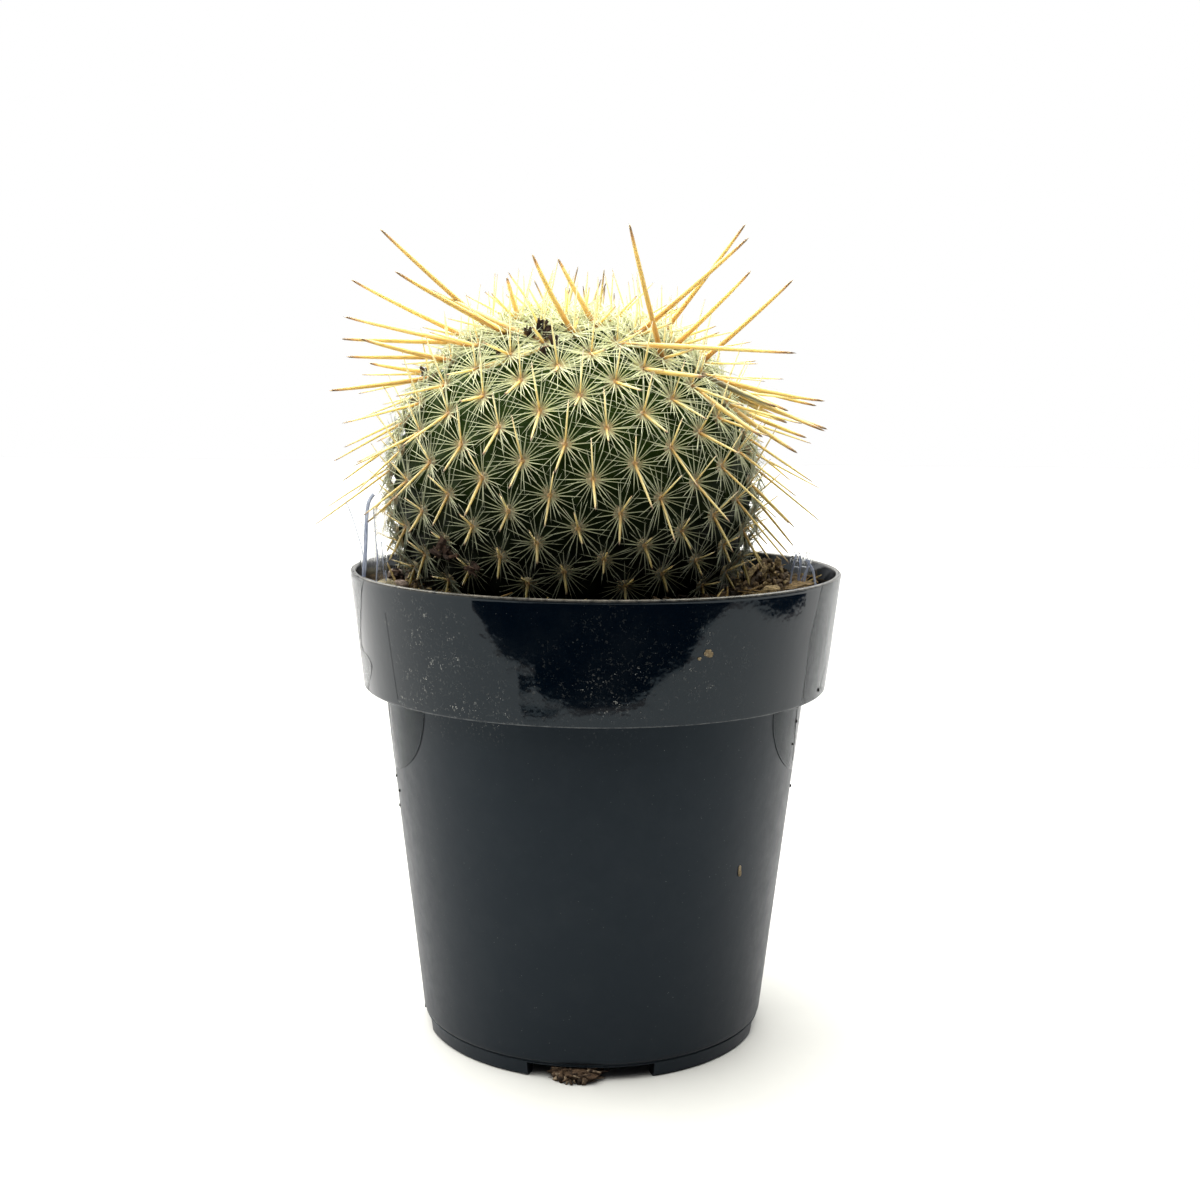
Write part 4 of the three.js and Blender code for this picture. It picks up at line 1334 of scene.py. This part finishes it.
# Upright folds of the flaps inside the rim: thickness, then points in the row frame.
FILM_FOLDS = {
    "left": (
        (0.34, ((-41.2, -13, 83.2), (-41.0, -13, 87), (-40.7, -13, 90), (-40.6, -13, 94), (-40.4, -13, 97.2),
                (-40.0, -12.9, 99.2), (-39.2, -12.7, 100.0))),
        (0.08, ((-41.3, -10.4, 86), (-41.6, -10, 89.4), (-42.5, -10, 92.5), (-43.5, -10, 95.9),
                (-44.6, -10, 98.6))),
        (0.11, ((-38.5, -16, 83.6), (-38.3, -16, 88), (-38.1, -16, 90.5))),
        (0.08, ((-37.1, -16, 83.5), (-37.2, -16, 88.7), (-37.5, -16, 92))),
        (0.06, ((-38.3, -16, 90), (-38.6, -16, 95), (-38.9, -16, 98))),
        (0.14, ((-36.4, -17, 83.2), (-36.7, -17, 87))),
    ),
    "right": (
        (0.18, ((35.0, -9, 82.8), (35.1, -9, 85.4), (35.6, -9, 88.3), (36.0, -9, 89.7))),
        (0.22, ((36.2, -9, 82.8), (36.5, -9, 85.7), (36.9, -9, 88.1), (36.6, -9, 89.4))),
        (0.18, ((37.2, -9, 83.2), (37.7, -9, 85.4), (38.1, -9, 87.4), (38.3, -9, 88.7))),
        (0.15, ((36.2, -8.6, 82.8), (37.0, -8.6, 84.6), (38.1, -8.6, 87.2))),
        (0.22, ((39.7, -9, 82.9), (39.4, -9, 85.4), (38.9, -9, 87.4), (37.7, -9, 88.8))),
    ),
}

# The flaps' loose sheets: where each starts and ends in plan, its foot and top, its pleats and their depth.
FILM_FLAPS = {
    "left": (
        ((-42.6, -9.0), (-36.6, -17.6), 83.2, 97.5, 2, 0.35),
    ),
    "right": (
        ((35.0, -9.6), (37.2, -9.2), 82.8, 89.0, 1.2, 0.35),
        ((35.6, -9.4), (38.8, -8.8), 87.4, 90.0, 2.5, 0.45),
    ),
}


def film_path(end):
    """(radius, height) of the strip from its fold inside the rim, over the lip and down the pot."""
    inner = RIM_RADIUS - WALL - FILM_GAP
    below_step = COLLAR_Z - 0.8
    return ((inner, POT_HEIGHT - 2.4), (inner, POT_HEIGHT - 0.3), (inner + 0.25, POT_HEIGHT + FILM_GAP),
            (RIM_RADIUS - 0.2, POT_HEIGHT + FILM_GAP), (RIM_RADIUS + FILM_GAP, POT_HEIGHT - 0.25),
            (COLLAR_RADIUS + FILM_GAP, COLLAR_Z), (COLLAR_RADIUS - 0.2, COLLAR_Z - FILM_GAP),
            (BODY_RADIUS + 0.6, COLLAR_Z - FILM_GAP), (body_radius(below_step) + FILM_GAP, below_step),
            (body_radius(end) + FILM_GAP, end))


# Each strip's front edge: height up the pot, and degrees from the strip's middle.
FRONT_EDGES = {
    "left": ((49.5, 8), (50, 18), (52, 27.5), (54.3, 33.5), (57, 37.5), (59.5, 39.5), (64.3, 41.5),
             (65.2, 19), (68.5, 24), (70.5, 26), (71.8, 23), (72.5, 16), (75, 17), (80, 22), (84, 25),
             (86, 27)),
    "right": ((48.8, 4), (49.3, 16), (51.8, 29), (54, 34.7), (56.4, 38.7), (58.7, 41), (64.3, 43),
              (65.2, 39), (73, 39), (76.5, 39), (80, 38), (84, 36.5), (86, 36)),
}


def film_sheet(name, path, middle, front_edge):
    """A strip of film hung along a path: a grid wrapped round the pot, its front edge swinging in."""
    columns, rows = SHEET_STEPS
    strip = primitive(bpy.ops.mesh.primitive_grid_add, x_subdivisions=columns, y_subdivisions=rows, size=2)
    strip.name = name
    steps = np.array(path, float)
    lengths = np.concatenate([[0], np.cumsum(np.linalg.norm(np.diff(steps, axis=0), axis=1))])
    half = math.degrees(FILM_WIDTH / 2 / RIM_RADIUS)
    ahead = 1 if middle < 0 else -1
    points = points_of(strip)
    for i, (x, y, _) in enumerate(points):
        far = (y + 1) / 2 * lengths[-1]
        radius = np.interp(far, lengths, steps[:, 0])
        height = np.interp(far, lengths, steps[:, 1])
        reach = np.interp(height, *zip(*front_edge)) if x * ahead > 0 else half
        spot = level(middle + x * reach) * radius
        points[i] = (spot.x, spot.y, height)
    move_points(strip, points)
    return strip


def crease(strip, depth, seed):
    """Ripples the film outwards only, in upright creases."""
    points = points_of(strip)
    for i, (x, y, z) in enumerate(points):
        ripple = noise.noise(Vector((x / 3.5, y / 3.5, z / 16)) + Vector((seed, 0, 0)))
        outward = Vector((x, y, 0)).normalized() * depth * max(0.0, ripple)
        points[i] += np.array(outward)
    move_points(strip, points)


def film_flap(name, start, end, foot, top, pleats, depth):
    """A loose upright sheet with pleats, its top edge uneven."""
    columns, rows = FLAP_STEPS
    flap = primitive(bpy.ops.mesh.primitive_grid_add, x_subdivisions=columns, y_subdivisions=rows, size=1)
    flap.name = name
    start, end = Vector(start), Vector(end)
    side = Vector((start.y - end.y, end.x - start.x)).normalized()
    points = points_of(flap)
    for i, (x, y, _) in enumerate(points):
        across, up = x + 0.5, y + 0.5
        ragged = 1 + 0.16 * noise.noise(Vector((across * 5, 1, 0)))
        swing = math.sin(across * pleats * TURN + 2 * up) * depth
        spot = start.lerp(end, across) + side * (swing + 0.4 * noise.noise(Vector((across * 3, up * 2, 4))))
        points[i] = (spot.x, spot.y, foot + (top - foot) * up * ragged)
    move_points(flap, points)
    apply_modifier(flap, "SOLIDIFY", thickness=FILM * 0.6, offset=0)
    return flap


def thread(name, points, radius):
    """A fine round line drawn through points: a curve given thickness and made a mesh."""
    deselect_all()
    curve = bpy.data.curves.new(name, "CURVE")
    curve.dimensions = "3D"
    curve.bevel_depth = radius
    curve.bevel_resolution = 2
    curve.use_fill_caps = True
    line = curve.splines.new("NURBS")
    line.points.add(len(points) - 1)
    for point, place in zip(line.points, points):
        point.co = (*place, 1)
    line.use_endpoint_u = True
    line.order_u = 3
    line.resolution_u = 8
    drawn = bpy.data.objects.new(name, curve)
    bpy.context.scene.collection.objects.link(drawn)
    drawn.select_set(True)
    bpy.context.view_layer.objects.active = drawn
    bpy.ops.object.convert(target="MESH")
    return bpy.context.object


def joined(pieces, name):
    deselect_all()
    for piece in pieces:
        piece.select_set(True)
    bpy.context.view_layer.objects.active = pieces[0]
    bpy.ops.object.join()
    pieces[0].name = name
    return pieces[0]


def on_pot(azimuth, height):
    """The point just off the pot's outside at an azimuth and height, where clinging film lies."""
    radius = collar_radius(height) if height > COLLAR_Z else body_radius(height)
    return level(azimuth) * (radius + FILM_GAP + FILM_THIN) + Vector((0, 0, height))


def film_line(points):
    radius = COLLAR_LINE if points[-1][1] > COLLAR_Z else BODY_LINE
    return thread("line", [on_pot(*point) for point in points], radius)


def film_strip(node_name, middle, end, clear, folded, loose, edge):
    """One strip: the sheet that clings to the pot, the fine lines on it, its loose folds and its flaps."""
    side = node_name.replace("film_strip_", "")
    main = film_sheet("packing_film_" + side, film_path(end), middle, FRONT_EDGES[side])
    crease(main, depth=0.10, seed=3.0)
    apply_modifier(main, "SOLIDIFY", thickness=FILM_THIN, offset=0)
    finish_piece(main, [clear], [node_name], smooth_below=40)
    lines = [film_line(points) for points in FILM_LINES[side]]
    folds = [thread("fold", points, radius) for radius, points in FILM_FOLDS[side]]
    flaps = [film_flap("flap", *flap) for flap in FILM_FLAPS[side]]
    for kind, pieces, finish in (("edge", lines, edge), ("fold", folds, folded), ("flap", flaps, loose)):
        finish_piece(joined(pieces, f"film_{kind}_{side}"), [finish])


# ---- putting it together ----

soil = speckled_finish(
    "bark_mix", {"Roughness": 0.85, "Specular IOR Level": 0.3},
    mottle=(0.8, rgb(0.010, 0.007, 0.004), rgb(0.060, 0.036, 0.018)),
    specks=(1.4, 0.7, rgb(0.20, 0.13, 0.05)), relief=(1.6, 0.6, 0.6))
bark = speckled_finish(
    "bark", {"Roughness": 0.8, "Specular IOR Level": 0.3},
    mottle=(1.0, rgb(0.030, 0.018, 0.008), rgb(0.30, 0.20, 0.085)),
    specks=(1.1, 0.8, rgb(0.012, 0.007, 0.004)), relief=(1.0, 0.5, 0.7), drawn_out=(0.5, 2.4, 2.4))
stone = speckled_finish(
    "grit", {"Roughness": 0.6},
    mottle=(0.6, rgb(0.16, 0.13, 0.07), rgb(0.36, 0.31, 0.20)),
    specks=(2.6, 0.9, rgb(0.07, 0.06, 0.045)), relief=(1.3, 0.3, 0.3))

# The finishes of loose bits: name, dark, middle and pale colour.
CRUMB_COLOURS = (
    ("crumbs", rgb(0.014, 0.009, 0.006), rgb(0.12, 0.072, 0.030), rgb(0.46, 0.33, 0.14)),
    ("moss", rgb(0.06, 0.034, 0.012), rgb(0.34, 0.22, 0.07), rgb(0.60, 0.45, 0.18)),
    ("heaped_bark", rgb(0.020, 0.012, 0.007), rgb(0.20, 0.13, 0.060), rgb(0.62, 0.47, 0.23)),
    ("pinkish_grit", rgb(0.09, 0.06, 0.045), rgb(0.28, 0.20, 0.16), rgb(0.60, 0.50, 0.44)),
    ("tan_bits", rgb(0.22, 0.16, 0.09), rgb(0.42, 0.33, 0.20), rgb(0.62, 0.52, 0.36)),
    ("dark_bits", rgb(0.006, 0.005, 0.005), rgb(0.012, 0.010, 0.009), rgb(0.03, 0.025, 0.022)),
    ("dark_crumbs", rgb(0.024, 0.013, 0.009), rgb(0.16, 0.088, 0.055), rgb(0.42, 0.28, 0.18)),
    ("old_roots", rgb(0.022, 0.012, 0.007), rgb(0.15, 0.090, 0.050), rgb(0.60, 0.46, 0.32)),
)
bits = {name: crumb_finish(name, *colours) for name, *colours in CRUMB_COLOURS}

# Spine colours from base to tip: (share of the length, colour).
RADIAL_STOPS = ((0.0, rgb(0.56, 0.40, 0.18)), (0.06, rgb(0.72, 0.65, 0.37)),
                (0.20, rgb(0.78, 0.80, 0.48)), (1.0, rgb(0.84, 0.88, 0.65)))
CENTRAL_STOPS = ((0.0, rgb(0.38, 0.19, 0.06)), (0.14, rgb(0.56, 0.36, 0.13)),
                 (0.45, rgb(0.65, 0.50, 0.22)), (0.82, rgb(0.64, 0.48, 0.22)),
                 (0.90, rgb(0.38, 0.25, 0.15)), (0.95, rgb(0.10, 0.065, 0.05)),
                 (1.0, rgb(0.045, 0.03, 0.028)))
YOUNG_STOPS = ((0.0, rgb(0.64, 0.56, 0.30)), (0.66, rgb(0.58, 0.47, 0.22)),
               (0.78, rgb(0.34, 0.23, 0.13)), (0.88, rgb(0.10, 0.07, 0.05)),
               (1.0, rgb(0.06, 0.04, 0.035)))
radial_horn = spine_finish("radial_horn", RADIAL_STOPS, spread=0.14, least=0.14)
amber_horn = spine_finish("amber_horn", CENTRAL_STOPS, spread=0.14, least=0.30, glow=0.9)
young_horn = spine_finish("young_horn", YOUNG_STOPS, spread=0.12, least=1.0, glow=0.45)

nursery_pot(black_plastic())
potting_mix(soil)
loose_mix(bits["crumbs"], bits["moss"])
chips_and_stones(bark, stone)
cactus_stem(skin_finish())
spine_rows(radial_horn, amber_horn)
areole_wool(wool_finish("areole_felt", rgb(0.62, 0.34, 0.11), rgb(0.90, 0.74, 0.46)))
crown_felt = wool_finish("crown_felt", rgb(0.40, 0.37, 0.24), rgb(0.70, 0.67, 0.50))
crown(crown_felt, radial_horn, young_horn)
heap_of_mix(bits["heaped_bark"], bits["pinkish_grit"])
stuck_bits(bits["tan_bits"], bits["dark_bits"])
caught_crumbs(bits["dark_crumbs"])
root_tuft(bits["old_roots"])
# The folded film's blue-grey is painted shade and its pale blue-white is painted highlight.
folded_film = fold_finish("folded_film", rgb(0.26, 0.31, 0.46), rgb(0.74, 0.79, 0.93), bend=1.25, clear=0.5)
loose_film = fold_finish("loose_film", rgb(0.90, 0.91, 0.94), rgb(1.0, 1.0, 1.0), bend=1.06, clear=1.0)
film_finishes = (film_finish(), folded_film, loose_film, film_edge_finish())
for strip in STRIPS:
    film_strip(*strip, *film_finishes)

# ---- the studio ----

WHITE = rgb(1, 1, 1)
OVERHEAD = rgb(7.2, 7.1, 6.5)
LIGHT_FROM = Vector((-0.22, 0.16, 1)).normalized()


def seen_straight(tree):
    """1 where the camera sees a thing itself or through film, 0 where it is only mirrored or lit by it."""
    path = node(tree, "LightPath").outputs
    straight = sums(tree, "MAXIMUM", path["Is Camera Ray"], path["Is Transmission Ray"])
    bounces = sums(tree, "ADD", path["Glossy Depth"], path["Diffuse Depth"], clamp=True)
    return times(tree, straight, sums(tree, "SUBTRACT", 1.0, bounces))


def studio_world():
    """White to the camera; light from overhead and round the back, and a dim room in front."""
    world = bpy.data.worlds.new("studio")
    bpy.context.scene.world = world
    world.use_nodes = True
    tree = world.node_tree
    background = tree.nodes["Background"]
    towards = node(tree, "TexCoord").outputs["Generated"]
    above = node(tree, "VectorMath", {0: towards, 1: LIGHT_FROM}, operation="DOT_PRODUCT").outputs["Value"]
    overhead = ranged(tree, above, 0.5, 0.88)
    front = ranged(tree, along_axis(tree, towards, "Y"), 0.9, -0.5)
    round_about = ramp(tree, front, (
        (0.0, WHITE), (0.64, rgb(0.46, 0.46, 0.46)), (1.0, rgb(0.06, 0.06, 0.065))))
    light = mixed(tree, overhead, round_about, OVERHEAD)
    put(tree, background.inputs["Color"], mixed(tree, seen_straight(tree), light, WHITE))


def pale_floor():
    floor = primitive(bpy.ops.mesh.primitive_plane_add, size=4)
    floor.name = "floor"
    material, tree, shader, place = material_of("pale_floor", {"Roughness": 0.6, "Specular IOR Level": 0.2})
    pale = mottled(tree, place, 0.01, rgb(0.455, 0.458, 0.462), rgb(0.48, 0.483, 0.487))
    mirrored = sums(tree, "MINIMUM", node(tree, "LightPath").outputs["Glossy Depth"], 1.0)
    bounced = mixed(tree, mirrored, rgb(0.20, 0.20, 0.20), rgb(0.35, 0.35, 0.37))
    put(tree, shader.inputs["Base Color"], mixed(tree, seen_straight(tree), bounced, pale))
    floor.data.materials.append(material)


# The far side of the table's front edge, as the glossy collar mirrors it: corners in millimetres.
DARK_CARD = (
    (-460, -340), (-226, -167), (-191, -175), (-173, -176), (-139, -180), (-128, -186),
    (-95, -198), (-90, -196), (-106, -186), (-121, -182), (-111, -177), (-109, -171),
    (-97, -177), (-92, -184), (-79, -185), (-66, -184), (-43, -189), (-46, -185),
    (-60, -181), (-84, -174), (-104, -165), (-99, -162), (-80, -168), (-59, -176),
    (-41, -187), (12, -191), (73, -184), (93, -186), (119, -182), (135, -175),
    (175, -174), (205, -166), (236, -153), (262, -138), (285, -90), (286, -71),
    (296, -30), (306, -4), (318, 45), (338, 114), (700, 230), (700, -900),
    (-700, -900),
)


CARD_LIFT = 0.4


def dark_card():
    """The dim room past the table's edge, seen only in reflections."""
    mesh = bpy.data.meshes.new("dark_card")
    corners = [(x * MM, y * MM, CARD_LIFT * MM) for x, y in DARK_CARD]
    mesh.from_pydata(corners, [], [range(len(corners))])
    card = bpy.data.objects.new("dark_card", mesh)
    bpy.context.scene.collection.objects.link(card)
    constants = {"Roughness": 1.0, "Specular IOR Level": 0.0, "Base Color": rgb(0.006, 0.012, 0.024)}
    mesh.materials.append(material_of("dark_room", constants)[0])
    card.visible_camera = False
    card.visible_transmission = False
    card.visible_shadow = False
    card.visible_diffuse = False


KEY_PLACE = Vector((-0.35, 0.15, 0.75))
KEY_AIM = Vector((0, 0, 0.08))


def soft_key():
    """A large soft light high on the left, so the pot's shadow falls a little to the right."""
    lamp = bpy.data.lights.new("soft_key", "AREA")
    lamp.size = 0.6
    lamp.energy = 1.5
    key = bpy.data.objects.new("soft_key", lamp)
    key.location = KEY_PLACE
    key.rotation_euler = (KEY_AIM - KEY_PLACE).to_track_quat("-Z", "Y").to_euler()
    bpy.context.scene.collection.objects.link(key)


CAMERA_PLACE = Vector((0.83, -292.87, 120.35))
CAMERA_PITCH = math.radians(7.88)
CAMERA_ROLL = 0.0096
CAMERA_LENS = 47.715


def photo_camera():
    lens = bpy.data.cameras.new("camera")
    lens.lens = CAMERA_LENS
    lens.clip_start = 0.01
    camera = bpy.data.objects.new("camera", lens)
    tilt = Matrix.Rotation(math.pi / 2 - CAMERA_PITCH, 4, "X") @ Matrix.Rotation(CAMERA_ROLL, 4, "Z")
    camera.matrix_world = Matrix.Translation(CAMERA_PLACE * MM) @ tilt
    bpy.context.scene.collection.objects.link(camera)
    bpy.context.scene.camera = camera


bpy.context.scene.view_settings.view_transform = "Standard"
studio_world()
pale_floor()
dark_card()
soft_key()
photo_camera()
